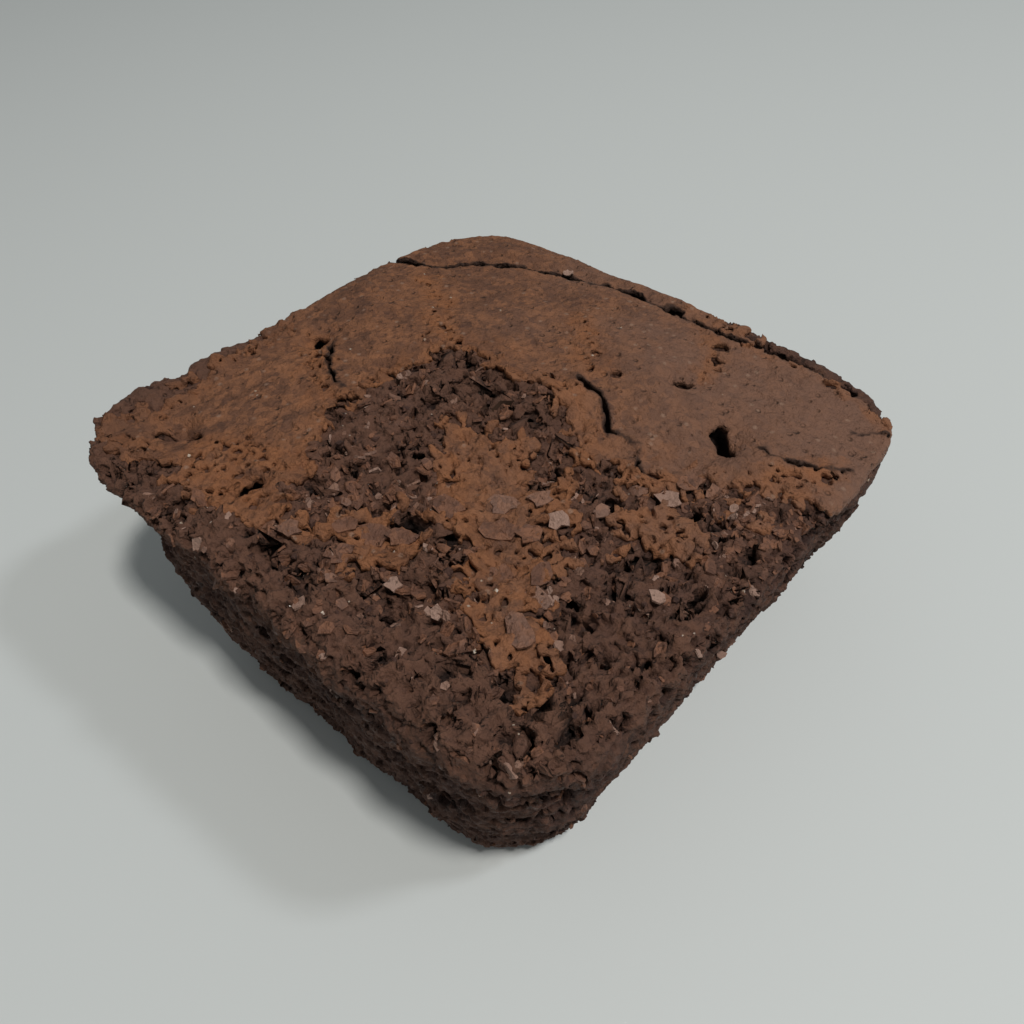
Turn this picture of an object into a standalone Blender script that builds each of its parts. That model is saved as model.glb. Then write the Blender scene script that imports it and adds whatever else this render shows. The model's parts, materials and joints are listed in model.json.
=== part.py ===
"""A single chocolate brownie, baked in its own square mould, as one solid body.

The block narrows towards its base, its four corners stand at different heights, and its top
is a low dome: a smooth sheet of crust at the back, broken open to lumpy crumb at the front.
Lengths below are millimetres, with Z up and the base on Z = 0, and become metres at the end.
The four sides are named by the way they face, and the four corners by the sides they join.
"""

import math

import bmesh
import bpy
from mathutils import Vector, noise

MM = 0.001
NAME = "brownie"

# Plan at the top: half lengths and corner radius.
TOP_HALF_X = 35.2
TOP_HALF_Y = 34.6
TOP_RADIUS = 11.7

# Plan at the base: how far each side has drawn in, and the corner radius.
DRAW_IN_EAST = 7.6
DRAW_IN_WEST = 13.5
DRAW_IN_NORTH = 5.6
DRAW_IN_SOUTH = 3.9
BASE_RADIUS = 10.0

# Height of the rim at the four corners.
HEIGHT_SOUTH_WEST = 30.0
HEIGHT_SOUTH_EAST = 28.6
HEIGHT_NORTH_EAST = 23.3
HEIGHT_NORTH_WEST = 25.4

# The rim arches up between the corners on two sides: height, middle and half width of each arch.
WEST_ARCH = (1.0, 8.0, 19.0)
NORTH_ARCH = (1.1, 4.0, 30.0)
# How fast each arch dies away from its own side, as a power of the share of the way across.
WEST_ARCH_POWER = 2
NORTH_ARCH_POWER = 4

# The south-west corner flares out at the rim and is undercut below it.
FLARE = 1.3
FLARE_DROP = 3.0
NECK = 2.6
NECK_DROP = 7.5
NECK_TALL = 4.5
CORNER_REACH = 13.0
# The rounded corner lies inside the box's corner by this share of its radius, on each axis.
CORNER_INSET = 0.3

SIDE_BULGE = 0.5
TOP_EDGE_ROUND = 1.5
WORN_EDGE_ROUND = 3.5
WORN_REACH = 45.0
WORN_FULL_SHARE = 0.4
BASE_EDGE_ROUND = 1.0
DOME_HEIGHT = 2.4

# The crust has sunk and broken away over the south-east part of the top.
BREAK_DEPTH = 1.5
BREAK_SOFTNESS = 5.0
BREAK_RAGGEDNESS = 4.0
BREAK_CENTRE = (22.0, -18.0)
BREAK_REACH = 29.0
BREAK_RIM_POWER = 6

# The rim lip: a raised bead along the west edge, thickest at the south-west corner.
LIP_HEIGHT = 1.1
LIP_INSET = 2.6
LIP_WIDTH = 2.0
LIP_NORTH_END = -6.0
LIP_LUMP_PITCH = 7.5
LIP_LUMP_SHARE = 0.25

# The crack that runs just inside the north edge and turns out over the west edge.
CRACK_POINTS = (
    (-35.0, 16.0),
    (-28.0, 20.0),
    (-24.0, 25.5),
    (-16.0, 29.3),
    (-6.0, 30.9),
    (8.0, 31.0),
    (18.0, 31.8),
    (27.0, 31.6),
)
CRACK_DEPTH = 1.0
CRACK_WIDTH = 1.5

# Deep holes in the top: place and radius.
HOLES = (
    (21.0, 12.5, 2.0),
    (12.0, 18.0, 1.5),
    (-25.0, -24.5, 1.7),
    (-11.5, -25.3, 1.4),
    (-25.5, -4.0, 1.5),
    (23.0, -15.5, 1.9),
    (25.5, -6.0, 2.2),
    (10.5, -26.0, 1.3),
)
HOLE_DEPTH = 2.2

# Lumps of the broken crumb and slow waves of the whole skin.
LUMP_SIZE = 6.0
LUMP_HEIGHT = 1.3
WAVE_SIZE = 14.0
WAVE_HEIGHT = 0.7
SIDE_LUMP_SIZE = 7.0
SIDE_LUMP_HEIGHT = 0.9
# The sides' fine lumps are this share of the coarse ones, in size and in height.
FINE_LUMP_SHARE = 0.5
# The sides' lumps grow to their full height this far above the base, and flatten by a share of it
# over this depth under the rim.
LUMPS_FULL_ABOVE = 4.0
LUMPS_FLATTEN_BELOW = 3.0
LUMPS_FLATTENED = 0.6
# Where the three noises are read, so that they differ.
TOP_LUMP_PLACE = Vector((0.0, 0.0, 5.0))
COARSE_LUMP_PLACE = Vector((9.0, 0.0, 0.0))
FINE_LUMP_PLACE = Vector((0.0, 7.0, 0.0))

# From the middle of the top out to the rim, the share of the way where the top starts to join it.
RIM_STARTS = 0.93

# Cells of the cage along X, Y and Z, and how strongly they crowd towards its faces, from 0 to 1.
CELLS = (36, 36, 9)
CROWDING = (0.35, 0.35, 0.9)

CRUST_COLOUR = (0.105, 0.052, 0.031, 1.0)
CRUST_ROUGHNESS = 0.85


def mix(low, high, share):
    """The value that lies this share of the way from low to high."""
    return low + (high - low) * share


def ramp(value, low, high):
    """Rises smoothly from 0 at low to 1 at high."""
    share = min(max((value - low) / (high - low), 0.0), 1.0)
    return share * share * (3.0 - 2.0 * share)


def arch(place, height, middle, half_width):
    """A smooth hump of this height, nothing beyond its half width."""
    return height * (1.0 - ramp(abs(place - middle), 0.0, half_width))


def half_lengths(u, v, level):
    """Half length along X and along Y, on the side where (u, v) lies, at a level from 0 to 1."""
    draw_x = DRAW_IN_EAST if u > 0.0 else DRAW_IN_WEST
    draw_y = DRAW_IN_NORTH if v > 0.0 else DRAW_IN_SOUTH
    bulge = SIDE_BULGE * math.sin(math.pi * level)
    return (
        TOP_HALF_X - draw_x * (1.0 - level) + bulge,
        TOP_HALF_Y - draw_y * (1.0 - level) + bulge,
    )


def outline(u, v, level):
    """The point of the rounded square that lies towards (u, v), itself on the unit square's edge."""
    half_x, half_y = half_lengths(u, v, level)
    radius = mix(BASE_RADIUS, TOP_RADIUS, level)
    point = Vector((u * half_x, v * half_y))
    core = Vector((
        min(max(point.x, radius - half_x), half_x - radius),
        min(max(point.y, radius - half_y), half_y - radius),
    ))
    return core + (point - core).normalized() * radius


def rim_height(x, y):
    """Height of the rim's own warped plane, which joins the four corner heights."""
    east = min(max(0.5 + 0.5 * x / TOP_HALF_X, 0.0), 1.0)
    north = min(max(0.5 + 0.5 * y / TOP_HALF_Y, 0.0), 1.0)
    south_side = mix(HEIGHT_SOUTH_WEST, HEIGHT_SOUTH_EAST, east)
    north_side = mix(HEIGHT_NORTH_WEST, HEIGHT_NORTH_EAST, east)
    west_arch = arch(y, *WEST_ARCH) * (1.0 - east) ** WEST_ARCH_POWER
    north_arch = arch(x, *NORTH_ARCH) * north**NORTH_ARCH_POWER
    return mix(south_side, north_side, north) + west_arch + north_arch


def south_west(x, y):
    """From 1 at the south-west corner to 0 away from it."""
    corner_x = CORNER_INSET * TOP_RADIUS - TOP_HALF_X
    corner_y = CORNER_INSET * TOP_RADIUS - TOP_HALF_Y
    reach = math.hypot(x - corner_x, y - corner_y) / CORNER_REACH
    return math.exp(-reach * reach)


def distance_to_line(x, y, points):
    """Shortest distance in plan from (x, y) to a line through points."""
    place = Vector((x, y))
    nearest = math.inf
    for start, end in zip(points, points[1:]):
        along = Vector(end) - Vector(start)
        share = (place - Vector(start)).dot(along) / along.length_squared
        foot = Vector(start) + along * min(max(share, 0.0), 1.0)
        nearest = min(nearest, (place - foot).length)
    return nearest


def broken(x, y):
    """From 0 on the whole crust to 1 where the top has broken open, with a ragged border."""
    reach = math.hypot(x - BREAK_CENTRE[0], y - BREAK_CENTRE[1])
    ragged = BREAK_RAGGEDNESS * noise.noise(Vector((x, y, 0.0)) / LUMP_SIZE)
    return 1.0 - ramp(reach + ragged, BREAK_REACH - BREAK_SOFTNESS, BREAK_REACH)


def worn(x, y):
    """From 0 where the rim is sharp to 1 at the south-east corner, where it has crumbled round."""
    reach = math.hypot(x - TOP_HALF_X, y + TOP_HALF_Y)
    return 1.0 - ramp(reach, WORN_FULL_SHARE * WORN_REACH, WORN_REACH)


def lip(x, y):
    """Height of the lumpy bead that stands along the west edge."""
    across = (x + TOP_HALF_X - LIP_INSET) / LIP_WIDTH
    along = 1.0 - ramp(y, LIP_NORTH_END - LIP_LUMP_PITCH, LIP_NORTH_END)
    lumps = mix(1.0, math.cos(2.0 * math.pi * y / LIP_LUMP_PITCH), LIP_LUMP_SHARE)
    return LIP_HEIGHT * math.exp(-across * across) * along * lumps


def crack(x, y):
    """Depth of the crack inside the north edge."""
    across = distance_to_line(x, y, CRACK_POINTS) / CRACK_WIDTH
    return CRACK_DEPTH * math.exp(-across * across)


def holes(x, y):
    """Depth of the deep holes."""
    depth = 0.0
    for hole_x, hole_y, radius in HOLES:
        across = math.hypot(x - hole_x, y - hole_y) / radius
        depth = max(depth, HOLE_DEPTH * math.exp(-across * across))
    return depth


def top_height(x, y):
    """Height of the top skin, before its edge is rounded."""
    across_x = min(abs(x) / TOP_HALF_X, 1.0)
    across_y = min(abs(y) / TOP_HALF_Y, 1.0)
    dome = DOME_HEIGHT * (1.0 - across_x**2) * (1.0 - across_y**2)
    open_share = broken(x, y) * (1.0 - max(across_x, across_y) ** BREAK_RIM_POWER)
    place = Vector((x, y, 0.0))
    wave = WAVE_HEIGHT * noise.noise(place / WAVE_SIZE)
    lump = LUMP_HEIGHT * noise.noise(place / LUMP_SIZE + TOP_LUMP_PLACE)
    level = rim_height(x, y) + dome + wave + open_share * (lump - BREAK_DEPTH)
    return level + lip(x, y) - crack(x, y) - holes(x, y)


def side_lump(point):
    """How far the side stands proud or draws back at a point."""
    coarse = noise.noise(point / SIDE_LUMP_SIZE + COARSE_LUMP_PLACE)
    fine = noise.noise(point / (FINE_LUMP_SHARE * SIDE_LUMP_SIZE) + FINE_LUMP_PLACE)
    return SIDE_LUMP_HEIGHT * (coarse + FINE_LUMP_SHARE * fine)


def corner_swell(flat, height, rim):
    """How far the south-west corner flares out at the rim, less how far it is undercut below."""
    below = rim - height
    flare = FLARE * (1.0 - ramp(below, 0.0, FLARE_DROP))
    neck = NECK * math.exp(-(((below - NECK_DROP) / NECK_TALL) ** 2))
    return (flare - neck) * south_west(flat.x, flat.y)


def quarter_round(radius, rise):
    """How far a quarter round draws in at this rise towards the face that it meets."""
    return radius - math.sqrt(max(radius**2 - rise**2, 0.0))


def edge_draw(flat, height, rim):
    """How far the skin draws in where the base's edge and the top's edge are rounded."""
    if height < BASE_EDGE_ROUND:
        return quarter_round(BASE_EDGE_ROUND, BASE_EDGE_ROUND - height)
    top_round = mix(TOP_EDGE_ROUND, WORN_EDGE_ROUND, worn(flat.x, flat.y))
    return quarter_round(top_round, max(height - (rim - top_round), 0.0))


def shaped(u, v, w):
    """The place on the brownie's skin of a point on the surface of the cube from -1 to 1."""
    inward = max(abs(u), abs(v))
    if inward == 0.0:
        return Vector((0.0, 0.0, top_height(0.0, 0.0) if w > 0.0 else 0.0))
    level = 0.5 + 0.5 * w
    flat = outline(u / inward, v / inward, level)
    rim = rim_height(flat.x, flat.y)
    height = level * rim
    direction = flat.normalized()
    near_base = ramp(height, 0.0, LUMPS_FULL_ABOVE)
    near_top = 1.0 - LUMPS_FLATTENED * ramp(height, rim - LUMPS_FLATTEN_BELOW, rim)
    swell = side_lump(Vector((flat.x, flat.y, height))) * near_base * near_top
    draw = edge_draw(flat, height, rim)
    edge = flat + direction * (swell - draw + corner_swell(flat, height, rim))
    if w == 1.0:
        place = edge * inward
        towards_rim = ramp(inward, RIM_STARTS, 1.0)
        inner = top_height(place.x, place.y)
        return Vector((place.x, place.y, mix(inner, rim + lip(place.x, place.y), towards_rim)))
    if w == -1.0:
        return Vector((edge.x * inward, edge.y * inward, 0.0))
    return Vector((edge.x, edge.y, height))


def cage():
    """A cube cut into a regular grid of cells, with its corners at -1 and 1."""
    mesh = bmesh.new()
    bmesh.ops.create_cube(mesh, size=2.0)
    for axis, (cells, crowding) in enumerate(zip(CELLS, CROWDING)):
        normal = Vector((0.0, 0.0, 0.0))
        normal[axis] = 1.0
        for index in range(1, cells):
            even = mix(-1.0, 1.0, index / cells)
            crowded = -math.cos(math.pi * index / cells)
            everything = mesh.verts[:] + mesh.edges[:] + mesh.faces[:]
            cut = normal * mix(even, crowded, crowding)
            bmesh.ops.bisect_plane(mesh, geom=everything, plane_co=cut, plane_no=normal)
    return mesh


def centre_plan(mesh):
    """Slides the body so that its box is centred over the origin."""
    for axis in (0, 1):
        low = min(vertex.co[axis] for vertex in mesh.verts)
        high = max(vertex.co[axis] for vertex in mesh.verts)
        for vertex in mesh.verts:
            vertex.co[axis] -= 0.5 * (low + high)


def crust_material():
    """Matte baked chocolate crumb."""
    material = bpy.data.materials.new("chocolate_crumb")
    material.use_nodes = True
    shader = material.node_tree.nodes["Principled BSDF"]
    shader.inputs["Base Color"].default_value = CRUST_COLOUR
    shader.inputs["Roughness"].default_value = CRUST_ROUGHNESS
    shader.inputs["Metallic"].default_value = 0.0
    return material


def build_brownie(collection):
    """Shapes the cage into the brownie and adds it to the collection."""
    mesh = cage()
    for vertex in mesh.verts:
        u, v, w = (round(value, 6) for value in vertex.co)
        vertex.co = shaped(u, v, w)
    centre_plan(mesh)
    bmesh.ops.scale(mesh, vec=(MM, MM, MM), verts=mesh.verts)
    bmesh.ops.recalc_face_normals(mesh, faces=mesh.faces)
    data = bpy.data.meshes.new(NAME)
    mesh.to_mesh(data)
    mesh.free()
    data.shade_smooth()
    data.materials.append(crust_material())
    brownie = bpy.data.objects.new(NAME, data)
    collection.objects.link(brownie)
    return brownie


def main():
    for scene_object in list(bpy.data.objects):
        bpy.data.objects.remove(scene_object)
    collection = bpy.data.collections.new("chocolate_brownie")
    bpy.context.scene.collection.children.link(collection)
    build_brownie(collection)


main()
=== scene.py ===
"""Looks of a single square chocolate brownie, built around its CAD solid.

The solid is replaced by a body of open crumb, which Geometry Nodes chip and pit from the solid's
own skin, and by a papery sheet of crust, which they cut as a distance field and lay on the top.
Flakes, crumbs and sugar grains are scattered over both. Inside the node trees lengths are
millimetres.
"""

import json
import math
import random

import bmesh
import bpy
from mathutils import Matrix, Vector, noise
from mathutils.bvhtree import BVHTree

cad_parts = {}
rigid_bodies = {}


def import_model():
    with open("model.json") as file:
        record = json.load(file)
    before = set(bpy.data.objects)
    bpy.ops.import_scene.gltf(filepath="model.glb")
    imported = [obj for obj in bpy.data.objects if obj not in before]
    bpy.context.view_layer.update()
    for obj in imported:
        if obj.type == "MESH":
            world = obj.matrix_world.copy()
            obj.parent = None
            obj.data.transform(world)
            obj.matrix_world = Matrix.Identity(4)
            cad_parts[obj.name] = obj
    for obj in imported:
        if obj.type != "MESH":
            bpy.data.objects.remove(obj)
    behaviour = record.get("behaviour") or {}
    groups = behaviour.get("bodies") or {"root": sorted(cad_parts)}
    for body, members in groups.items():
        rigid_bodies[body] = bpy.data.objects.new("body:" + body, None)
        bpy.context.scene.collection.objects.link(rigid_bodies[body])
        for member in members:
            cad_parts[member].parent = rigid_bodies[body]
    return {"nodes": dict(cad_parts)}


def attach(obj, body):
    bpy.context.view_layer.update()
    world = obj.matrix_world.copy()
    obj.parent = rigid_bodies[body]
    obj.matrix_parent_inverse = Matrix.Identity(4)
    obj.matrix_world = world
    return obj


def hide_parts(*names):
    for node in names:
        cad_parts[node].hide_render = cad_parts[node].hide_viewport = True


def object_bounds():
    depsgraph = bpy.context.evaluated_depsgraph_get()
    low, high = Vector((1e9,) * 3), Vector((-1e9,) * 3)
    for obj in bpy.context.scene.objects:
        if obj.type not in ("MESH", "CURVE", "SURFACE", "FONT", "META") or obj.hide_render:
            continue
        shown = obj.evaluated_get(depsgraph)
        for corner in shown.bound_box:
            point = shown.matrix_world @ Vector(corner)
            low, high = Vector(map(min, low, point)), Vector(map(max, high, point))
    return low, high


bl_info = {
    "name": "Chocolate Brownie",
    "version": (1, 0, 0),
    "blender": (4, 5, 0),
    "location": "View3D > Sidebar > Brownie",
    "description": "Builds a baked chocolate brownie with open crumb, papery crust and loose flakes",
    "category": "Add Mesh",
}

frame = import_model()
CAD_LOW, CAD_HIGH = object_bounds()
NODE = "brownie"
BODY = "root"
MM = 0.001

# --------------------------------------------------------------------------------------
# Outlines in plan, in millimetres, with +X to the east and +Y to the north.

# Where the crust has broken away: the front of the top with the bare rims beside it, then a
# stretch of rim at the back. Each runs well outside the brownie.
BROKEN_AREAS = [
    [
        (-42.0, -6.0), (-32.3, -6.5), (-32.2, -11.0), (-32.0, -15.0), (-31.7, -19.5), (-31.2, -23.4),
        (-32.0, -26.5), (-32.0, -30.6), (-29.0, -31.8), (-24.8, -30.8), (-21.2, -31.2), (-15.8, -30.4),
        (-9.0, -30.0), (-4.5, -29.4), (-1.8, -27.5), (-5.0, -23.5), (-8.0, -19.5), (-12.5, -13.5),
        (-12.5, -6.5), (-11.5, -2.0), (-12.0, 3.0), (-8.0, 6.0), (-3.7, 4.2), (2.4, 6.0),
        (6.4, 2.8), (12.8, -0.8), (17.7, 1.8), (20.5, 5.3), (24.0, 6.5), (28.0, 9.0),
        (32.0, 9.5), (42.0, 12.0), (42.0, -42.0), (-42.0, -42.0),
    ],
    [
        (7.0, 34.0), (11.0, 32.8), (15.5, 32.0), (20.0, 32.4), (25.0, 31.9), (28.5, 31.2),
        (32.0, 29.8), (42.0, 38.0), (8.0, 42.0),
    ],
]

# Crust that still clings inside the broken area: a long tongue and a few patches.
CRUST_ISLANDS = [
    [
        (-5.0, -5.1), (-1.9, -3.6), (1.0, -4.1), (4.5, -1.6), (6.8, -3.0), (10.9, -4.7),
        (14.8, -7.0), (17.5, -10.5), (18.4, -15.0), (21.8, -17.3), (24.7, -20.3), (28.7, -24.4),
        (27.0, -28.0), (25.0, -24.8), (21.5, -24.6), (17.1, -23.2), (14.7, -21.4), (13.7, -17.7),
        (10.4, -16.3), (6.7, -15.7), (6.3, -12.2), (2.7, -10.0), (-1.5, -8.0),
    ],
    [(-0.5, -23.0), (3.0, -18.5), (7.0, -18.0), (8.0, -22.0), (4.5, -25.5)],
    [(17.5, -3.5), (21.0, 1.0), (26.5, 2.5), (27.5, -1.0), (23.0, -4.5)],
]

# Cracks through the crust, each a line of points.
CRACKS = [
    [(-36.0, 16.0), (-29.0, 18.6), (-24.5, 23.9), (-20.0, 26.8), (-13.0, 29.0), (-6.0, 30.4)],
    [(-6.0, 30.4), (1.0, 30.7), (12.0, 30.6), (19.0, 31.6), (27.0, 31.2)],
    [(4.0, 9.5), (8.0, 8.5), (11.5, 5.5), (15.1, 6.0), (17.0, 3.0)],
    [(-24.0, -3.0), (-19.5, -7.5), (-15.0, -9.0)],
    [(24.5, 14.5), (28.0, 14.0), (30.5, 16.0), (33.3, 18.4)],
    [(30.5, 24.0), (33.5, 27.0)],
]

# Deep dark holes: place, length, width and turn in degrees.
HOLES = [
    (21.0, 13.2, 5.6, 2.0, -41.0),
    (11.8, 27.6, 2.4, 1.3, 60.0),
    (12.6, 25.0, 2.0, 1.2, -20.0),
    (13.8, 22.9, 1.5, 1.0, 40.0),
    (12.3, 18.0, 2.4, 2.0, 38.0),
    (-25.6, -26.0, 3.0, 1.5, 30.0),
    (-22.4, -24.1, 2.0, 1.2, 30.0),
    (-11.2, -25.2, 2.6, 1.7, 53.0),
    (-26.2, -3.4, 2.0, 1.6, 50.0),
    (-24.6, -4.6, 1.8, 1.4, 10.0),
    (21.5, -18.3, 4.4, 1.3, 58.0),
    (25.8, -10.9, 2.4, 1.6, 36.0),
    (23.6, -6.7, 6.8, 1.5, 57.0),
    (10.9, -26.8, 1.7, 1.4, 0.0),
    (9.2, -27.8, 1.2, 1.0, 0.0),
    (14.3, -30.0, 2.4, 1.8, 60.0),
    (19.9, -27.9, 3.0, 1.8, 56.0),
    (24.5, -26.1, 2.4, 1.7, -8.0),
    (28.3, -29.6, 3.2, 2.0, 30.0),
    (4.6, -18.2, 4.2, 1.6, 30.0),
    (9.7, -18.2, 4.6, 1.4, -75.0),
    (-9.5, 2.2, 2.8, 1.6, 30.0),
    (-2.5, 1.5, 3.6, 1.7, 10.0),
    (4.5, 1.0, 3.0, 1.5, -20.0),
    (-13.3, -10.0, 3.0, 1.8, 60.0),
    (6.5, 13.0, 2.0, 1.3, 0.0),
]

# Patches where the crust is thin and stippled with pinholes.
POROUS_PATCHES = [
    [(-27.6, 14.7), (-25.7, 16.9), (-20.0, 13.4), (-11.5, 5.8), (-12.0, 3.3), (-17.0, 5.8)],
    [(-6.6, 20.6), (-3.1, 20.6), (3.8, 16.0), (6.4, 11.2), (3.8, 9.9), (-2.2, 14.6)],
    [(8.0, 29.6), (10.8, 29.1), (14.4, 22.8), (15.1, 19.1), (12.2, 22.0)],
    [(-29.2, -3.3), (-25.9, -1.6), (-20.5, -5.6), (-15.1, -11.6), (-17.4, -13.4), (-23.7, -8.0)],
    [(-21.4, -25.2), (-17.3, -18.9), (-9.3, -21.8), (-6.0, -26.4), (-10.6, -29.1), (-18.2, -28.7)],
    [(26.2, 11.9), (32.1, 20.6), (33.9, 12.7), (32.4, 7.2), (28.2, 6.6)],
]

# The band across the broken area where many shards of crust are left.
FLAKED_BAND = [
    (-3.0, -27.0), (-5.0, -22.0), (-4.0, -16.0), (2.0, -14.0), (3.0, -6.0), (9.0, -2.5),
    (16.0, 1.5), (24.0, 6.5), (33.0, 5.5), (30.0, -2.5), (22.0, -8.0), (20.0, -15.0),
    (26.0, -24.0), (17.0, -24.0), (10.0, -23.0), (5.0, -27.0),
]

# Large flakes that lie on the broken area: place, length, width, turn and tilt in degrees, and
# tone from the crust's brown at 0 to pale at 1.
LARGE_FLAKES = [
    (19.7, -17.0, 3.6, 2.6, 20.0, 16.0, 0.60),
    (22.1, -21.3, 4.6, 3.0, -15.0, 8.0, 0.50),
    (-2.5, -27.0, 3.0, 2.0, 30.0, 12.0, 0.50),
    (2.5, -25.0, 3.6, 2.4, 75.0, 14.0, 0.42),
    (9.2, -24.4, 1.9, 1.7, 20.0, 10.0, 0.85),
    (10.5, -10.3, 3.8, 2.6, 35.0, 12.0, 0.55),
    (15.8, -8.6, 3.0, 2.2, 10.0, 16.0, 0.85),
    (12.9, -7.8, 2.8, 2.0, 60.0, 12.0, 0.55),
    (17.6, -4.2, 2.8, 2.2, 80.0, 18.0, 0.60),
    (19.1, -6.9, 2.2, 1.9, 40.0, 15.0, 0.55),
    (21.4, 2.0, 3.0, 2.2, 15.0, 14.0, 0.80),
    (28.7, 0.7, 3.0, 2.4, 50.0, 12.0, 0.90),
    (18.7, 0.9, 2.2, 1.6, 5.0, 12.0, 0.50),
    (2.9, -21.0, 4.0, 2.8, 20.0, 10.0, 0.15),
    (0.3, -22.2, 3.0, 2.0, 70.0, 12.0, 0.20),
    (5.4, -19.7, 3.4, 2.2, 35.0, 10.0, 0.15),
    (6.8, -14.2, 3.6, 2.6, 15.0, 12.0, 0.10),
    (12.2, -12.9, 4.4, 3.0, 30.0, 10.0, 0.10),
    (14.8, -11.5, 3.4, 2.6, 65.0, 9.0, 0.15),
    (21.9, 5.2, 3.4, 2.6, 45.0, 10.0, 0.45),
    (24.6, 6.0, 2.6, 2.0, 0.0, 12.0, 0.50),
    (18.7, -14.7, 3.2, 2.4, 85.0, 12.0, 0.20),
    (15.6, -16.7, 3.6, 2.6, 25.0, 9.0, 0.10),
    (-14.1, 30.0, 1.8, 1.2, 10.0, 12.0, 1.00),
]


# --------------------------------------------------------------------------------------
# Node tree helpers, shared by the geometry and the shader trees.


def shown_socket(sockets, key):
    """The enabled socket with this name, or at this place among the enabled ones."""
    shown = [socket for socket in sockets if socket.enabled]
    if isinstance(key, int):
        return shown[key]
    return next(socket for socket in shown if socket.name == key)


def feed(tree, socket, value):
    """Links a flow into a socket, or sets the socket's own value."""
    if isinstance(value, Flow):
        tree.links.new(value.socket, socket)
    elif value is not None:
        socket.default_value = value


class Flow:
    """An output socket of a node tree. Arithmetic on it adds Math or Vector Math nodes."""

    def __init__(self, tree, socket):
        self.tree = tree
        self.socket = socket

    def arithmetic(self, operation, first, second):
        if self.socket.type == "VECTOR":
            return vector_math(self.tree, operation, first, second)
        return math_node(self.tree, operation, first, second)

    def __add__(self, other):
        return self.arithmetic("ADD", self, other)

    __radd__ = __add__

    def __sub__(self, other):
        return self.arithmetic("SUBTRACT", self, other)

    def __rsub__(self, other):
        return self.arithmetic("SUBTRACT", other, self)

    def __mul__(self, other):
        return self.arithmetic("MULTIPLY", self, other)

    __rmul__ = __mul__

    def __truediv__(self, other):
        return self.arithmetic("DIVIDE", self, other)

    def __rtruediv__(self, other):
        return self.arithmetic("DIVIDE", other, self)

    def __neg__(self):
        return self.arithmetic("MULTIPLY", self, -1.0)


def add_node(tree, kind, inputs=None, **settings):
    """Adds a node, sets its properties, then feeds its inputs by name or by place."""
    node = tree.nodes.new(kind)
    for name, value in settings.items():
        setattr(node, name, value)
    for key, value in (inputs or {}).items():
        feed(tree, shown_socket(node.inputs, key), value)
    return node


def out(tree, node, key=0):
    return Flow(tree, shown_socket(node.outputs, key))


def math_node(tree, operation, *values, clamp=False):
    node = add_node(tree, "ShaderNodeMath", dict(enumerate(values)), operation=operation)
    node.use_clamp = clamp
    return out(tree, node)


def as_vector(value):
    """A number stands for the vector with three such parts."""
    return (value,) * 3 if isinstance(value, (int, float)) else value


def vector_math_node(tree, operation, *values):
    values = [as_vector(value) for value in values]
    return add_node(tree, "ShaderNodeVectorMath", dict(enumerate(values)), operation=operation)


def vector_math(tree, operation, *values):
    return out(tree, vector_math_node(tree, operation, *values))


def folded(operation, flows):
    """One math operation taken over all the flows in turn."""
    total = flows[0]
    for flow in flows[1:]:
        total = math_node(total.tree, operation, total, flow)
    return total


def smallest(*flows):
    return folded("MINIMUM", flows)


def largest(*flows):
    return folded("MAXIMUM", flows)


# How far the crust's cut edges are rounded, in millimetres.
EDGE_ROUNDING = 0.08


def soft_largest(first, second):
    """The larger of two distances, with the edge between them slightly rounded."""
    return math_node(first.tree, "SMOOTH_MAX", first, second, EDGE_ROUNDING)


def rise(flow, low, high, start=0.0, end=1.0):
    """Goes smoothly from start at low to end at high, where low is below high."""
    inputs = {"Value": flow, "From Min": low, "From Max": high, "To Min": start, "To Max": end}
    node = add_node(flow.tree, "ShaderNodeMapRange", inputs, interpolation_type="SMOOTHSTEP")
    return out(flow.tree, node)


def parts(vector):
    """The three parts of a vector."""
    node = add_node(vector.tree, "ShaderNodeSeparateXYZ", {0: vector})
    return [out(vector.tree, node, key) for key in range(3)]


def dot(first, second):
    return Flow(first.tree, vector_math_node(first.tree, "DOT_PRODUCT", first, second).outputs["Value"])


def join_parts(tree, x, y, z):
    return out(tree, add_node(tree, "ShaderNodeCombineXYZ", {0: x, 1: y, 2: z}))


def ripple(place, size, detail=2.0, roughness=0.5, shift=0.0, distortion=0.0):
    """Fractal noise from about -1 to 1 whose coarsest bumps are about this size across."""
    inputs = {
        "Vector": place + shift,
        "Scale": 1.0 / size,
        "Detail": detail,
        "Roughness": roughness,
        "Distortion": distortion,
    }
    return (out(place.tree, add_node(place.tree, "ShaderNodeTexNoise", inputs)) - 0.5) * 2.0


def signed(node, key):
    """A node's colour output, from 0 to 1, as a vector from -1 to 1."""
    return vector_math(node.id_data, "SUBTRACT", Flow(node.id_data, node.outputs[key]), 0.5) * 2.0


def ripple_vector(place, size, detail=1.0, shift=0.0):
    """Three noises from about -1 to 1 as a vector."""
    inputs = {"Vector": place + shift, "Scale": 1.0 / size, "Detail": detail}
    return signed(add_node(place.tree, "ShaderNodeTexNoise", inputs), "Color")


def cells(place, size, shift=0.0, dimensions="3D"):
    """The nearest of scattered cells this size: the distance to its middle, the way from its middle,
    and three random numbers for it from -1 to 1 as a vector."""
    shifted = place + shift
    inputs = {"Vector": shifted, "Scale": 1.0 / size}
    node = add_node(place.tree, "ShaderNodeTexVoronoi", inputs, voronoi_dimensions=dimensions)
    away = shifted - out(place.tree, node, "Position")
    return out(place.tree, node) * size, away, signed(node, "Color")


def pores(place, size, least, most, shift, dimensions="3D"):
    """Distance to the walls of hollows, one to a cell, with radii from least to most of a cell."""
    middle, _, draw = cells(place, size, shift, dimensions)
    share = parts(draw)[0] * 0.5 + 0.5
    return middle - (share * (most - least) + least) * size


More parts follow.
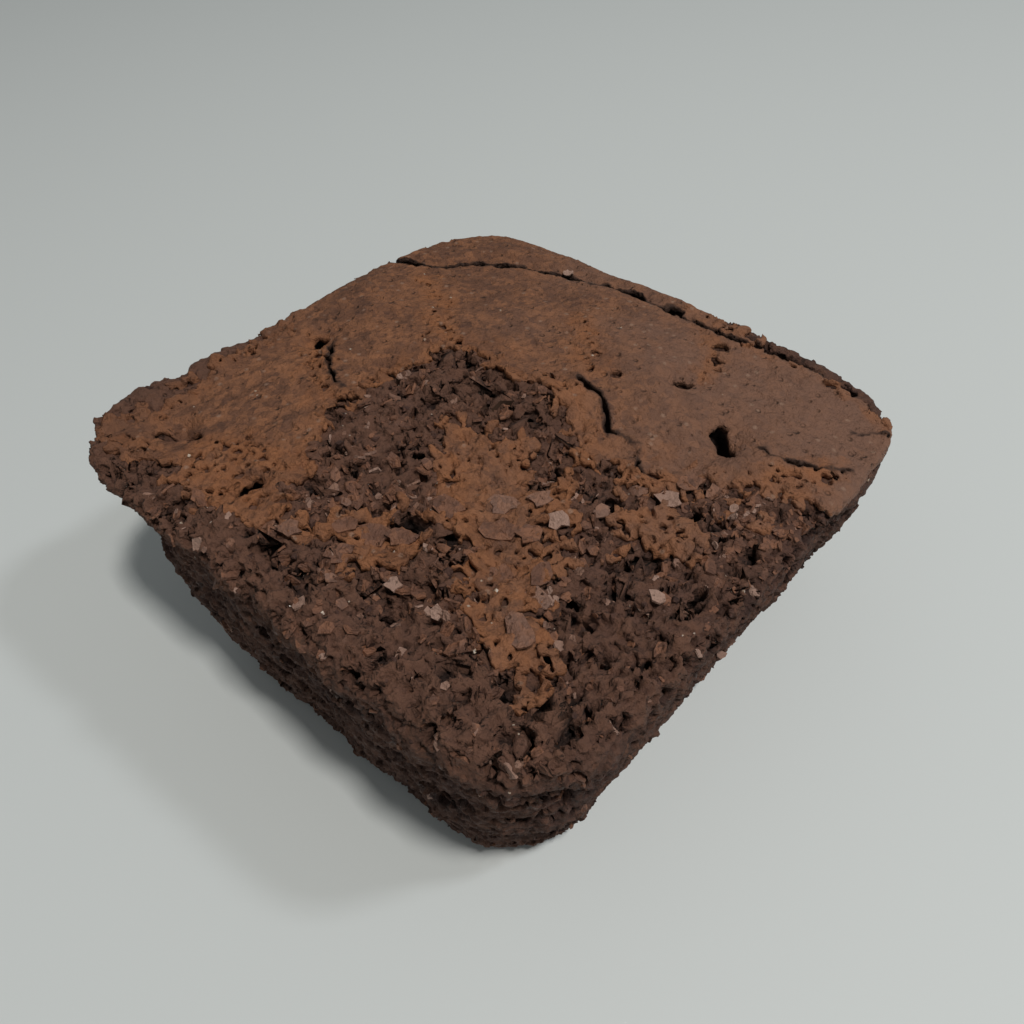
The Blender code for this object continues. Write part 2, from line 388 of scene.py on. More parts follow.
def chips(place, size, step, tilt, shift=0.0):
    """Relief of flat chips this size, each at its own height and tilted its own way."""
    _, away, draw = cells(place, size, shift)
    return parts(draw)[2] * step + dot(away, draw) * tilt


# --------------------------------------------------------------------------------------
# Geometry tree helpers.


def new_tree(name, sockets):
    """A node group with one geometry in and out, and named inputs. Returns it and its inputs."""
    tree = bpy.data.node_groups.new(name, "GeometryNodeTree")
    tree.interface.new_socket("Geometry", in_out="INPUT", socket_type="NodeSocketGeometry")
    for label, socket_type, value in sockets:
        socket = tree.interface.new_socket(label, in_out="INPUT", socket_type=socket_type)
        if value is not None:
            socket.default_value = value
    tree.interface.new_socket("Geometry", in_out="OUTPUT", socket_type="NodeSocketGeometry")
    entry = tree.nodes.new("NodeGroupInput")
    given = {socket.name: Flow(tree, socket) for socket in entry.outputs if socket.name}
    return tree, given


def changed(tree, kind, geometry, inputs=None, **settings):
    """What a node makes of a geometry."""
    return out(tree, add_node(tree, kind, {"Geometry": geometry, **(inputs or {})}, **settings))


def end_tree(tree, geometry, material):
    """Realizes the geometry, gives it its material and makes it the tree's result."""
    real = changed(tree, "GeometryNodeRealizeInstances", geometry)
    painted = changed(tree, "GeometryNodeSetMaterial", real, {"Material": material})
    feed(tree, tree.nodes.new("NodeGroupOutput").inputs[0], painted)


def run_tree(owner, tree, values):
    """Puts the tree on an object as a modifier, with its inputs set by name."""
    modifier = owner.modifiers.new(tree.name, "NODES")
    modifier.node_group = tree
    for item in tree.interface.items_tree:
        if item.item_type == "SOCKET" and item.in_out == "INPUT" and item.name in values:
            modifier[item.identifier] = values[item.name]


def placed(name, data):
    """A new object with this data, in the scene."""
    thing = bpy.data.objects.new(name, data)
    bpy.context.scene.collection.objects.link(thing)
    return thing


def baked_mesh(source, name):
    """A plain object that holds what the source's modifiers make. The source is removed."""
    graph = bpy.context.evaluated_depsgraph_get()
    graph.update()
    mesh = bpy.data.meshes.new_from_object(source.evaluated_get(graph), depsgraph=graph)
    mesh.name = name
    bpy.data.objects.remove(source)
    return placed(name, mesh)


def position(tree):
    return out(tree, tree.nodes.new("GeometryNodeInputPosition"))


def position_mm(tree):
    return position(tree) * (1.0 / MM)


def own_normal(tree):
    return out(tree, tree.nodes.new("GeometryNodeInputNormal"))


def object_geometry(tree, flow):
    """The mesh of an object input."""
    return out(tree, add_node(tree, "GeometryNodeObjectInfo", {"Object": flow}), "Geometry")


def nearness(tree, target, place, element):
    """Distance in millimetres from a place in millimetres to a target geometry."""
    inputs = {"Geometry": target, "Sample Position": place * MM}
    node = add_node(tree, "GeometryNodeProximity", inputs, target_element=element)
    return out(tree, node, "Distance") * (1.0 / MM)


def plan_distance(tree, target, plan):
    """Signed distance in plan to filled outlines, negative inside them."""
    return nearness(tree, target, plan, "FACES") * 2.0 - nearness(tree, target, plan, "EDGES")


def skin_of(tree, solid, place):
    """Signed distance to the closed solid, negative inside, and the nearest outward normal."""
    inputs = {"Geometry": solid, "Sample Position": place * MM}
    near = add_node(tree, "GeometryNodeProximity", inputs, target_element="FACES")
    sampled = add_node(tree, "GeometryNodeSampleNearestSurface", data_type="FLOAT_VECTOR")
    feed(tree, shown_socket(sampled.inputs, "Mesh"), solid)
    feed(tree, shown_socket(sampled.inputs, "Value"), own_normal(tree))
    feed(tree, shown_socket(sampled.inputs, "Sample Position"), place * MM)
    normal = out(tree, sampled)
    side = dot(place * MM - out(tree, near, "Position"), normal)
    sign = math_node(tree, "SIGN", side)
    return out(tree, near, "Distance") * sign * (1.0 / MM), normal


BOX_SOCKETS = [
    ("Voxel", "NodeSocketFloat", None),
    ("Low", "NodeSocketVector", None),
    ("High", "NodeSocketVector", None),
]


def mesh_of_field(tree, body, given):
    """Meshes the zero surface of a distance field inside the given box, in steps of the given voxel."""
    slope = math_node(tree, "DIVIDE", -1.0, given["Voxel"] * 6.0)
    density = math_node(tree, "MULTIPLY_ADD", body, slope, 0.5, clamp=True)
    counts = parts((given["High"] - given["Low"]) / given["Voxel"])
    inputs = {
        "Density": density,
        "Min": given["Low"] * MM,
        "Max": given["High"] * MM,
        "Resolution X": counts[0],
        "Resolution Y": counts[1],
        "Resolution Z": counts[2],
    }
    volume = out(tree, add_node(tree, "GeometryNodeVolumeCube", inputs))
    meshed = add_node(tree, "GeometryNodeVolumeToMesh", {"Volume": volume, "Threshold": 0.5})
    return out(tree, meshed)


def compared(tree, operation, first, second):
    inputs = {0: first, 1: second}
    return out(tree, add_node(tree, "FunctionNodeCompare", inputs, data_type="FLOAT", operation=operation))


def drop_small_islands(tree, mesh, share):
    """Removes the loose islands with fewer points than a share of the largest one's."""
    island = out(tree, tree.nodes.new("GeometryNodeInputMeshIsland"))
    count = add_node(tree, "GeometryNodeAccumulateField", {"Value": 1.0, "Group ID": island})
    total = out(tree, count, "Total")
    most = add_node(tree, "GeometryNodeAttributeStatistic", {"Geometry": mesh, "Attribute": total})
    few = compared(tree, "LESS_THAN", total, out(tree, most, "Max") * share)
    return changed(tree, "GeometryNodeDeleteGeometry", mesh, {"Selection": few})


def store(tree, geometry, name, value, domain="POINT"):
    """Stores a number on each point, or each instance, under a name."""
    inputs = {"Name": name, "Value": value}
    return changed(tree, "GeometryNodeStoreNamedAttribute", geometry, inputs, domain=domain)


# --------------------------------------------------------------------------------------
# Guides: the solid, and flat outlines and lines, that the trees measure distances to.


def guide_object(name, mesh):
    """An object that only the trees see."""
    guide = placed(name, mesh)
    guide.hide_render = True
    return guide


def plan_mesh(name, outlines=(), lines=()):
    """A hidden object with filled outlines, or lines, on the plane Z = 0."""
    mesh = bpy.data.meshes.new(name)
    points, edges, faces = [], [], []
    for outline in outlines:
        faces.append(range(len(points), len(points) + len(outline)))
        points += outline
    for line in lines:
        edges += [(len(points) + index, len(points) + index + 1) for index in range(len(line) - 1)]
        points += line
    mesh.from_pydata([(x * MM, y * MM, 0.0) for x, y in points], edges, faces)
    return guide_object(name, mesh)


def oval(x, y, length, width, turn, count=14):
    """The outline of a turned oval."""
    slant = math.radians(turn)
    points = []
    for index in range(count):
        angle = 2.0 * math.pi * index / count
        along, across = 0.5 * length * math.cos(angle), 0.5 * width * math.sin(angle)
        points.append((
            x + along * math.cos(slant) - across * math.sin(slant),
            y + along * math.sin(slant) + across * math.cos(slant),
        ))
    return points


def merged_solid():
    """A closed copy of the CAD solid, as a guide."""
    mesh = frame["nodes"][NODE].data.copy()
    work = bmesh.new()
    work.from_mesh(mesh)
    bmesh.ops.remove_doubles(work, verts=work.verts, dist=1e-6)
    work.to_mesh(mesh)
    work.free()
    mesh.shade_smooth()
    return guide_object("solid_guide", mesh)


def make_guides():
    """All guides, by the name that the trees give them."""
    return {
        "Solid": merged_solid(),
        "Broken Areas": plan_mesh("broken_areas_guide", BROKEN_AREAS),
        "Crust Islands": plan_mesh("crust_islands_guide", CRUST_ISLANDS),
        "Cracks": plan_mesh("cracks_guide", lines=CRACKS),
        "Holes": plan_mesh("holes_guide", [oval(*hole) for hole in HOLES]),
        "Porous Patches": plan_mesh("porous_patches_guide", POROUS_PATCHES),
        "Flaked Band": plan_mesh("flaked_band_guide", [FLAKED_BAND]),
    }


GUIDES = ("Solid", "Broken Areas", "Crust Islands", "Cracks", "Holes", "Porous Patches", "Flaked Band")
GUIDE_SOCKETS = [(label, "NodeSocketObject", None) for label in GUIDES]


def clear_guides(guides):
    for guide in guides.values():
        bpy.data.objects.remove(guide)


# --------------------------------------------------------------------------------------
# The plan, and the trees of the crumb and the crust.

# Width of the crust's shards. Each draws a number from -1 to 1, and in the flaked band the ones
# that draw more than this are left.
SHARD_SIZE = 1.6
SHARDS_GONE = 0.30


def stretched(vector, x, y, z):
    return vector_math(vector.tree, "MULTIPLY", vector, (x, y, z))


def level(vector):
    """The vector with its height left out."""
    return stretched(vector, 1.0, 1.0, 0.0)


class Plan:
    """The brownie's plan at a place: where crust lies, and how far cracks and holes are."""

    def __init__(self, tree, given, place):
        flat = level(place)

        def distance_to(label, where):
            return plan_distance(tree, object_geometry(tree, given[label]), where)

        # The crust breaks in straight-edged shards, so its border is read at each shard's middle.
        bent = flat + level(ripple_vector(flat, 1.6, detail=1.0, shift=1.7) * 0.5)
        _, away, draw = cells(bent, SHARD_SIZE)
        draws = parts(draw)
        self.x, self.y, self.z = parts(place)
        self.shard_draw = draw
        self.shard_away = away
        wander = ripple_vector(flat, 5.0, detail=3.0, shift=3.1) * 2.4
        ragged = flat + level(wander - away * 0.8)
        self.broken = distance_to("Broken Areas", ragged)
        self.band = distance_to("Flaked Band", ragged)
        # Negative where crust lies. Near the border single shards are gone or left behind, and
        # some are left all over the flaked band.
        border = smallest(-self.broken, distance_to("Crust Islands", ragged)) + draws[0] * 1.5
        left_behind = largest(self.band, (SHARDS_GONE - draws[1]) * SHARD_SIZE)
        self.crust = smallest(border, left_behind)
        inputs = {"Vector": bent, "Scale": 1.0 / SHARD_SIZE}
        seams = add_node(tree, "ShaderNodeTexVoronoi", inputs, feature="DISTANCE_TO_EDGE")
        self.seam = out(tree, seams) * SHARD_SIZE
        wavering = flat + level(ripple_vector(flat, 1.7, detail=3.0, shift=8.4) * 1.1)
        # The crack along the back gapes; the others come and go.
        gape = largest(rise(self.y, 27.5, 29.5), rise(self.y - self.x * 0.35, 25.0, 28.0))
        open_share = rise(ripple(flat, 3.4, detail=2.0, shift=2.7), -0.35, 0.40)
        width = open_share * 0.5 - 0.12 + gape * (open_share * 0.80 + 0.08)
        self.crack = nearness(tree, object_geometry(tree, given["Cracks"]), wavering, "EDGES") - width
        self.hole = distance_to("Holes", wavering)
        self.porous = distance_to("Porous Patches", ragged)


def on_top(up):
    """1 on the top and 0 on the sides and the base, from the upward part of the normal."""
    return rise(up, 0.25, 0.7)


def on_base(up):
    return rise(-up, 0.5, 0.85)


def under_crust(plan, top):
    return top * rise(plan.crust, -0.6, 0.2, 1.0, 0.0)


def rolled_rim(plan):
    """1 on the rim in the west, which is rolled smooth."""
    return rise(-plan.x, 27.5, 30.5) * rise(plan.y, -31.0, -28.0)


def moved(tree, geometry, offset):
    """Moves each point by an offset in millimetres."""
    return changed(tree, "GeometryNodeSetPosition", geometry, {"Offset": offset * MM})


def pressed_flat(tree, geometry):
    """Lifts every point under the table up to it."""
    x, y, z = parts(position(tree))
    lifted = join_parts(tree, x, y, math_node(tree, "MAXIMUM", z, 0.0))
    return changed(tree, "GeometryNodeSetPosition", geometry, {"Position": lifted})


def smoothed(tree, geometry):
    return changed(tree, "GeometryNodeSetShadeSmooth", geometry)


def rough_shape_tree(material):
    """Gives the solid its lumps, large hollows, cracks and holes, and lowers it under the crust."""
    sockets = GUIDE_SOCKETS + [
        ("Lump Height", "NodeSocketFloat", 0.5),
        ("Pore Size", "NodeSocketFloat", 4.6),
    ]
    tree, given = new_tree("Rough Shape", sockets)
    place = position_mm(tree)
    normal = own_normal(tree)
    up = parts(normal)[2]
    plan = Plan(tree, given, place)
    top = on_top(up)
    covered = under_crust(plan, top)

    lumps = ripple(place, 5.0, detail=2.0, shift=11.0) * given["Lump Height"]
    bent = place + ripple_vector(place, 2.6, detail=2.0) * 1.2
    hollow = -pores(bent, given["Pore Size"], 0.02, 0.42, 1.0)
    hollow = rise(hollow, -0.1, 0.8) * rise(ripple(place, 6.0, shift=5.0), -0.6, 0.4, 0.9, 2.4)
    hollow = hollow * (1.0 - rolled_rim(plan) * 0.7)
    relief = (lumps - hollow) * (1.0 - covered) - covered * 0.7
    crack = rise(plan.crack, -0.1, 0.5, 1.5, 0.0)
    hole = rise(plan.hole, -0.6, 0.15, 3.0, 0.0)
    relief = relief - largest(crack, hole) * top
    shaped = moved(tree, given["Geometry"], normal * (relief * (1.0 - on_base(up))))
    end_tree(tree, pressed_flat(tree, shaped), material)
    return tree


def open_crumb_tree(material):
    """Breaks the surface into chips of crumb with hollows between."""
    sockets = GUIDE_SOCKETS + [
        ("Pore Size", "NodeSocketFloat", 4.6),
        ("Chip Size", "NodeSocketFloat", 2.0),
    ]
    tree, given = new_tree("Open Crumb", sockets)
    place = position_mm(tree)
    _, solid_normal = skin_of(tree, object_geometry(tree, given["Solid"]), place)
    east, north, up = parts(solid_normal)
    plan = Plan(tree, given, place)
    top = on_top(up)
    east_face = rise(east, 0.4, 0.8)
    south_face = rise(-north, 0.4, 0.8)
    open_share = (1.0 - under_crust(plan, top)) * (1.0 - on_base(up))

    # Small chips broken at all angles, with ledges and upright ridges on the sides.
    bent = place + ripple_vector(place, 2.0, detail=2.0) * 0.8
    chip_size = given["Chip Size"]
    ridges = ripple(stretched(place, 1.0, 1.0, 0.3), 1.8, detail=3.0, shift=5.0) * 0.4 * east_face
    ledges = ripple(stretched(place, 0.5, 0.5, 1.4), 2.4, detail=3.0, shift=6.0) * 0.5 * south_face
    relief = chips(bent, chip_size, 0.30, 0.34, shift=4.0)
    relief = relief + chips(bent, chip_size * 0.5, 0.17, 0.42, shift=14.0)
    # The rims in the west and north and the corner in the north-east are smoother.
    north_rim = rise(plan.y, 27.0, 30.0) * top
    corner = rise(plan.x + plan.y, 50.0, 58.0)
    rough_share = open_share * (1.0 - rolled_rim(plan) * 0.75)
    rough_share = rough_share * (1.0 - north_rim * 0.5) * (1.0 - corner * 0.7)
    shaped = relief * rough_share * (top * 0.58 + 0.42) + (ridges + ledges) * open_share
    geometry = moved(tree, given["Geometry"], own_normal(tree) * shaped)

    # Round hollows in four sizes, then fine grit.
    place = position_mm(tree)
    bent = place + ripple_vector(place, 1.8, detail=2.0) * 0.5
    middle = -pores(bent, given["Pore Size"] * 0.5, 0.12, 0.48, 21.0)
    other = -pores(bent, given["Pore Size"] * 0.6, 0.05, 0.40, 81.0)
    small = -pores(bent, given["Pore Size"] * 0.27, 0.06, 0.47, 41.0)
    tiny = -pores(bent, given["Pore Size"] * 0.15, 0.10, 0.46, 61.0)
    pits = largest(rise(middle, -0.04, 0.36), rise(other, -0.04, 0.36)) * 2.0
    pits = pits + rise(small, -0.04, 0.25) * 0.8 + rise(tiny, -0.03, 0.18) * 0.3
    grit = ripple(place, 0.9, detail=3.0, roughness=0.7, shift=2.0) * 0.32
    geometry = moved(tree, geometry, own_normal(tree) * ((grit - pits) * rough_share))
    end_tree(tree, smoothed(tree, pressed_flat(tree, geometry)), material)
    return tree


def quarter_tree(material):
    """Keeps the faces of the quarter that faces the given way."""
    tree, given = new_tree("Quarter", [("Facing", "NodeSocketFloat", 0.0)])
    place = position(tree)
    sine, cosine = (math_node(tree, function, given["Facing"]) for function in ("SINE", "COSINE"))
    outward = join_parts(tree, sine, -cosine, 0.0)
    aside = join_parts(tree, cosine, sine, 0.0)
    past = dot(place, aside) - dot(place, outward)
    before = -dot(place, aside) - dot(place, outward)
    # The test isn't symmetric, so that a face on a border falls to one quarter only.
    beyond = compared(tree, "GREATER_THAN", past, 0.0)
    short = compared(tree, "GREATER_EQUAL", before, 0.0)
    other = out(tree, add_node(tree, "FunctionNodeBooleanMath", {0: beyond, 1: short}, operation="OR"))
    inputs = {"Selection": other}
    kept = changed(tree, "GeometryNodeDeleteGeometry", given["Geometry"], inputs, domain="FACE")
    end_tree(tree, kept, material)
    return tree


def dropped_onto_top(tree, solid, place):
    """Height in millimetres and upward part of the normal of the solid's top under a place."""
    heights, ups = [], []
    for reach in (1.0, 0.99):
        x, y, _ = parts(place * (MM * reach))
        inputs = {
            "Target Geometry": solid,
            "Source Position": join_parts(tree, x, y, 0.1),
            "Ray Direction": (0.0, 0.0, -1.0),
            "Ray Length": 1.0,
        }
        ray = add_node(tree, "GeometryNodeRaycast", inputs)
        heights.append(parts(out(tree, ray, "Hit Position"))[2] * (1.0 / MM))
        ups.append(parts(out(tree, ray, "Hit Normal"))[2])
    # Just outside the outline the first ray misses, and the height further in stands for it.
    return math_node(tree, "MAXIMUM", *heights), ups[0]


# The smallest scrap of crust that is kept, as a share of the whole sheet's points.
SMALLEST_ISLAND = 0.0025


def crust_tree(material):
    """The papery sheet of crust over the back of the top and its islands in the broken area. It is
    cut flat, with its height counted from the solid's top, and then laid on it."""
    sockets = BOX_SOCKETS + GUIDE_SOCKETS + [
        ("Thickness", "NodeSocketFloat", 0.9),
        ("Lift", "NodeSocketFloat", 0.25),
    ]
    tree, given = new_tree("Papery Crust", sockets)
    solid = object_geometry(tree, given["Solid"])
    place = position_mm(tree)
    skin = parts(place)[2]
    _, up = dropped_onto_top(tree, solid, place)
    plan = Plan(tree, given, place)
    # What is left inside the broken area is nearly as ragged as the border.
    near_border = largest(rise(plan.crust, -3.5, -0.3), rise(-plan.broken, -1.0, 1.0, 0.0, 0.62))
    porous = rise(plan.porous, -2.0, 1.5, 1.0, 0.0)
    worn = largest(near_border, porous)

    # The sheet waves gently, wrinkles finely and curls up along its broken border and its cracks.
    waves = ripple(place, 7.0, detail=3.0, shift=4.0) * 0.45
    wrinkles = ripple(place, 1.7, detail=4.0, roughness=0.75, shift=9.0, distortion=0.9) * 0.46
    rough = ripple(place, 0.8, detail=2.0, roughness=0.7, shift=19.0) * (worn * 0.34 + 0.12)
    blister, _, _ = cells(place, 2.6, shift=5.0, dimensions="2D")
    rough = rough + rise(blister, 0.1, 0.5, 0.10, 0.0)
    curl = near_border + rise(plan.crack, -0.3, 1.6, 1.0, 0.0)
    slant = dot(plan.shard_away, plan.shard_draw) * 0.45 + parts(plan.shard_draw)[2] * 0.28
    skin = skin - waves - wrinkles - rough - slant * near_border - curl * given["Lift"] + 0.05
    sheet = soft_largest(skin, -(skin + given["Thickness"]))

    bent = place + ripple_vector(place, 1.8, detail=2.0) * 0.7
    pits = pores(bent, 2.4, 0.0, 0.32, 3.0, "2D") + (1.0 - worn) * 0.75
    pinholes = pores(bent, 1.0, 0.0, 0.40, 13.0, "2D") + (1.0 - worn) * 0.40
    body = soft_largest(sheet, -smallest(pits, pinholes))
    seam = rise(near_border, 0.5, 1.0, -0.3, 0.03) - plan.seam
    rim = (0.62 - up + ripple(place, 4.0, detail=1.0, shift=6.0) * 0.16) * 5.0
    body = largest(body, rim, plan.crust, -plan.crack, -plan.hole, seam)

    mesh = drop_small_islands(tree, mesh_of_field(tree, body, given), SMALLEST_ISLAND)
    height, _ = dropped_onto_top(tree, solid, position_mm(tree))
    laid = moved(tree, mesh, join_parts(tree, 0.0, 0.0, height))
    end_tree(tree, smoothed(tree, laid), material)
    return tree


def marks_tree(material):
    """Stores on a mesh what its material reads: the depth under the skin, and the distances to the
    crust, to the stippled patches and to the cracks."""
    tree, given = new_tree("Surface Marks", GUIDE_SOCKETS)
    place = position_mm(tree)
    skin, _ = skin_of(tree, object_geometry(tree, given["Solid"]), place)
    plan = Plan(tree, given, place)
    marks = {"depth": -skin, "bare": plan.crust, "porous": plan.porous, "crack": plan.crack}
    marked = given["Geometry"]
    for name, value in marks.items():
        marked = store(tree, marked, name, value)
    end_tree(tree, marked, material)
    return tree


# --------------------------------------------------------------------------------------
# Loose pieces.


def finished_mesh(name, work):
    """The mesh that was being worked on."""
    mesh = bpy.data.meshes.new(name)
    work.to_mesh(mesh)
    work.free()
    return mesh


# How far the corners of a flake's outline lie from its middle, as shares of its half width.
FLAKE_REACH = (0.55, 1.12)


def flake_mesh(name, sides, length, width, thickness, seed):
    """A thin flat flake with a broken, straight-edged outline, round its own middle."""
    draws = random.Random(seed)
    work = bmesh.new()
    bmesh.ops.create_circle(work, cap_ends=True, radius=0.5, segments=sides)
    for vertex in work.verts:
        reach = draws.uniform(*FLAKE_REACH)
        vertex.co.x *= length * reach
        vertex.co.y *= width * reach
    bmesh.ops.inset_region(work, faces=work.faces[:], thickness=0.22 * width)
    bmesh.ops.poke(work, faces=[face for face in work.faces if len(face.verts) > 4])
    for vertex in work.verts:
        where = vertex.co * (1.6 / length) + Vector((seed * 7.3, seed * 3.1, 0.0))
        vertex.co.z = 0.12 * length * noise.noise(where) + 0.20 * vertex.co.x ** 2 / length
    made = bmesh.ops.extrude_face_region(work, geom=work.faces[:])
    for thing in made["geom"]:
        if isinstance(thing, bmesh.types.BMVert):
            thing.co.z += thickness * draws.uniform(0.7, 1.2)
    bmesh.ops.recalc_face_normals(work, faces=work.faces)
    return finished_mesh(name, work)


def lump_mesh(name, subdivisions, roughness, seed):
    """A lump of crumb one unit across."""
    work = bmesh.new()
    bmesh.ops.create_icosphere(work, subdivisions=subdivisions, radius=0.5)
    for vertex in work.verts:
        where = vertex.co * 2.2 + Vector((seed * 5.1, seed * 2.3, seed))
        vertex.co *= 1.0 + roughness * noise.noise(where) + roughness * 0.6 * noise.noise(where * 2.3)
    return finished_mesh(name, work)


def grain_mesh(name, seed):
    """A sugar crystal one unit across: a box with bevelled and uneven corners."""
    work = bmesh.new()
    bmesh.ops.create_cube(work, size=0.8)
    bmesh.ops.bevel(work, geom=work.edges[:], offset=0.08, segments=1, affect="EDGES")
    for vertex in work.verts:
        vertex.co *= 1.0 + 0.25 * noise.noise(vertex.co * 2.0 + Vector((seed, seed, 0.0)))
    return finished_mesh(name, work)


def gathered(tree, kind, given, labels):
    """One node that takes in the meshes of several object inputs."""
    node = tree.nodes.new(kind)
    for label in labels:
        feed(tree, node.inputs[0], object_geometry(tree, given[label]))
    return out(tree, node)


# What a scatter is told: pieces to a square millimetre, their smallest and largest size in
# millimetres, the share of it that is sunk in, and their tilt in radians.
SPREAD = ("Density", "Smallest", "Largest", "Sink", "Tilt")


def scatter_tree(name, variants, hosts, material, seed, mask):
    """Scatters variants over the hosts. Mask gives the density's share from the upward part of the
    normal and the plan."""
    sockets = [(label, "NodeSocketObject", None) for label in (*variants, *hosts)] + GUIDE_SOCKETS
    sockets += [(label, "NodeSocketFloat", 0.5) for label in SPREAD]
    tree, given = new_tree(name, sockets)
    ground = gathered(tree, "GeometryNodeJoinGeometry", given, hosts)
    choice = gathered(tree, "GeometryNodeGeometryToInstance", given, variants)

    place = position_mm(tree)
    up = parts(own_normal(tree))[2]
    wanted = mask(up, Plan(tree, given, place)) * given["Density"] * (1.0 / MM**2)
    inputs = {"Mesh": ground, "Density": wanted, "Seed": seed}
    spots = add_node(tree, "GeometryNodeDistributePointsOnFaces", inputs)
    outward = out(tree, spots, "Normal")
    size = random_value(tree, 0.0, 1.0, seed + 1)
    size = size * size * (given["Largest"] - given["Smallest"]) + given["Smallest"]
    sunk = moved(tree, out(tree, spots), outward * (-given["Sink"] * size))
    lean = out(tree, add_node(tree, "FunctionNodeAlignRotationToVector", {"Vector": outward}, axis="Z"))
    tip_x, tip_y = (random_value(tree, -1.0, 1.0, seed + step) * given["Tilt"] for step in (2, 3))
    spin = random_value(tree, -math.pi, math.pi, seed + 4)
    own = add_node(tree, "FunctionNodeEulerToRotation", {0: join_parts(tree, tip_x, tip_y, spin)})
    turns = {0: lean, 1: out(tree, own)}
    inputs = {
        "Points": sunk,
        "Instance": choice,
        "Pick Instance": True,
        "Instance Index": random_value(tree, 0, len(variants) - 1, seed + 5, "INT"),
        "Rotation": out(tree, add_node(tree, "FunctionNodeRotateRotation", turns, rotation_space="LOCAL")),
        "Scale": size * MM,
    }
    instances = out(tree, add_node(tree, "GeometryNodeInstanceOnPoints", inputs))
    # Most pieces are dark and only a few pale.
    tone = math_node(tree, "POWER", random_value(tree, 0.0, 1.0, seed + 6), 3.0)
    end_tree(tree, store(tree, instances, "tone", tone, "INSTANCE"), material)
    return tree


def random_value(tree, low, high, seed, kind="FLOAT"):
    inputs = {"Min": low, "Max": high, "Seed": seed}
    return out(tree, add_node(tree, "FunctionNodeRandomValue", inputs, data_type=kind))


# --------------------------------------------------------------------------------------
# Materials.


# How strongly the surfaces mirror, where 0.5 is the shader's usual.
CRUMB_SHEEN = 0.35
CRUST_SHEEN = 0.3


def new_material(name):
    """A material, its tree and its Principled shader."""
    material = bpy.data.materials.new(name)
    material.use_nodes = True
    return material, material.node_tree, material.node_tree.nodes["Principled BSDF"]


def object_place(tree):
    """Object coordinates in millimetres."""
    return out(tree, tree.nodes.new("ShaderNodeTexCoord"), "Object") * (1.0 / MM)


def mark(tree, name):
    """A number stored on the mesh."""
    return out(tree, add_node(tree, "ShaderNodeAttribute", attribute_name=name), "Fac")


def blend_colours(tree, share, low, high):
    node = tree.nodes.new("ShaderNodeMix")
    node.data_type = "RGBA"
    feed(tree, node.inputs[0], share)
    feed(tree, node.inputs[6], low)
    feed(tree, node.inputs[7], high)
    return Flow(tree, node.outputs[2])


def shader_group(name, inputs, build):
    """A shader node group with these inputs, as label to default. Build gives its outputs by label."""
    group = bpy.data.node_groups.new(name, "ShaderNodeTree")
    kinds = {float: "NodeSocketFloat", tuple: "NodeSocketColor", type(None): "NodeSocketVector"}
    for label, value in inputs.items():
        socket = group.interface.new_socket(label, in_out="INPUT", socket_type=kinds[type(value)])
        if value is not None:
            socket.default_value = value
    entry = group.nodes.new("NodeGroupInput")
    given = {socket.name: Flow(group, socket) for socket in entry.outputs if socket.name}
    results = build(group, given)
    for label, flow in results.items():
        kind = "NodeSocketColor" if flow.socket.type == "RGBA" else "NodeSocketFloat"
        group.interface.new_socket(label, in_out="OUTPUT", socket_type=kind)
    exit_node = group.nodes.new("NodeGroupOutput")
    for index, flow in enumerate(results.values()):
        feed(group, exit_node.inputs[index], flow)
    return group


def use_group(tree, group, values):
    """Places a group with its own values. Returns the node."""
    node = tree.nodes.new("ShaderNodeGroup")
    node.node_tree = group
    for label, value in values.items():
        feed(tree, node.inputs[label], value)
    return node


def baked_mottle(tree, given):
    """Colour of a baked surface: wide patches between dark and light, then specks of a third colour.
    Each grain leans its own way between them."""
    place = given["Place"]
    bent = place + ripple_vector(place, 1.0, detail=2.0) * 0.35
    _, _, draw = cells(bent, given["Speck Size"], 6.0)
    first, second, _ = parts(draw)
    wide = ripple(place, given["Patch Size"], detail=4.0, roughness=0.6, shift=1.0)
    wide = rise(wide + first * given["Grain Contrast"], -0.45, 0.45)
    specks = ripple(place, given["Speck Size"], detail=4.0, roughness=0.75, shift=2.0)
    specks = rise(specks + second * given["Grain Contrast"], 0.0, 0.55)
    colour = blend_colours(tree, wide, given["Dark"], given["Light"])
    colour = blend_colours(tree, specks * given["Speck Share"], colour, given["Specks"])
    return {"Colour": colour}


def cake_grain(tree, given):
    """Height in metres of a fine open grain: soft bumps, sharp grit, pinpricks and slanted facets."""
    place = given["Place"]
    bumps = ripple(place, given["Bump Size"], detail=3.0, roughness=0.6, shift=17.0) * given["Bump Height"]
    grit = ripple(place, given["Grit Size"], detail=3.0, roughness=0.7, shift=23.0) * given["Grit Height"]
    prick = pores(place, given["Grit Size"] * 3.0, 0.0, 0.40, 29.0) / given["Grit Size"]
    prick = rise(prick, -0.8, 0.0, -2.5, 0.0) * given["Grit Height"]
    bent = place + ripple_vector(place, 0.8, detail=2.0) * 0.3
    facets = chips(bent, given["Facet Size"], 0.10, 0.45, shift=37.0) * given["Facet Height"]
    return {"Height": (bumps + grit + prick + facets) * MM}


MOTTLE = {
    "Place": None,
    "Patch Size": 7.0,
    "Speck Size": 0.9,
    "Speck Share": 0.5,
    "Grain Contrast": 0.3,
    "Dark": (0.03, 0.015, 0.01, 1.0),
    "Light": (0.08, 0.04, 0.03, 1.0),
    "Specks": (0.12, 0.06, 0.03, 1.0),
}
GRAIN = {
    "Place": None,
    "Bump Size": 1.0,
    "Bump Height": 0.08,
    "Grit Size": 0.3,
    "Grit Height": 0.04,
    "Facet Size": 0.8,
    "Facet Height": 0.5,
}


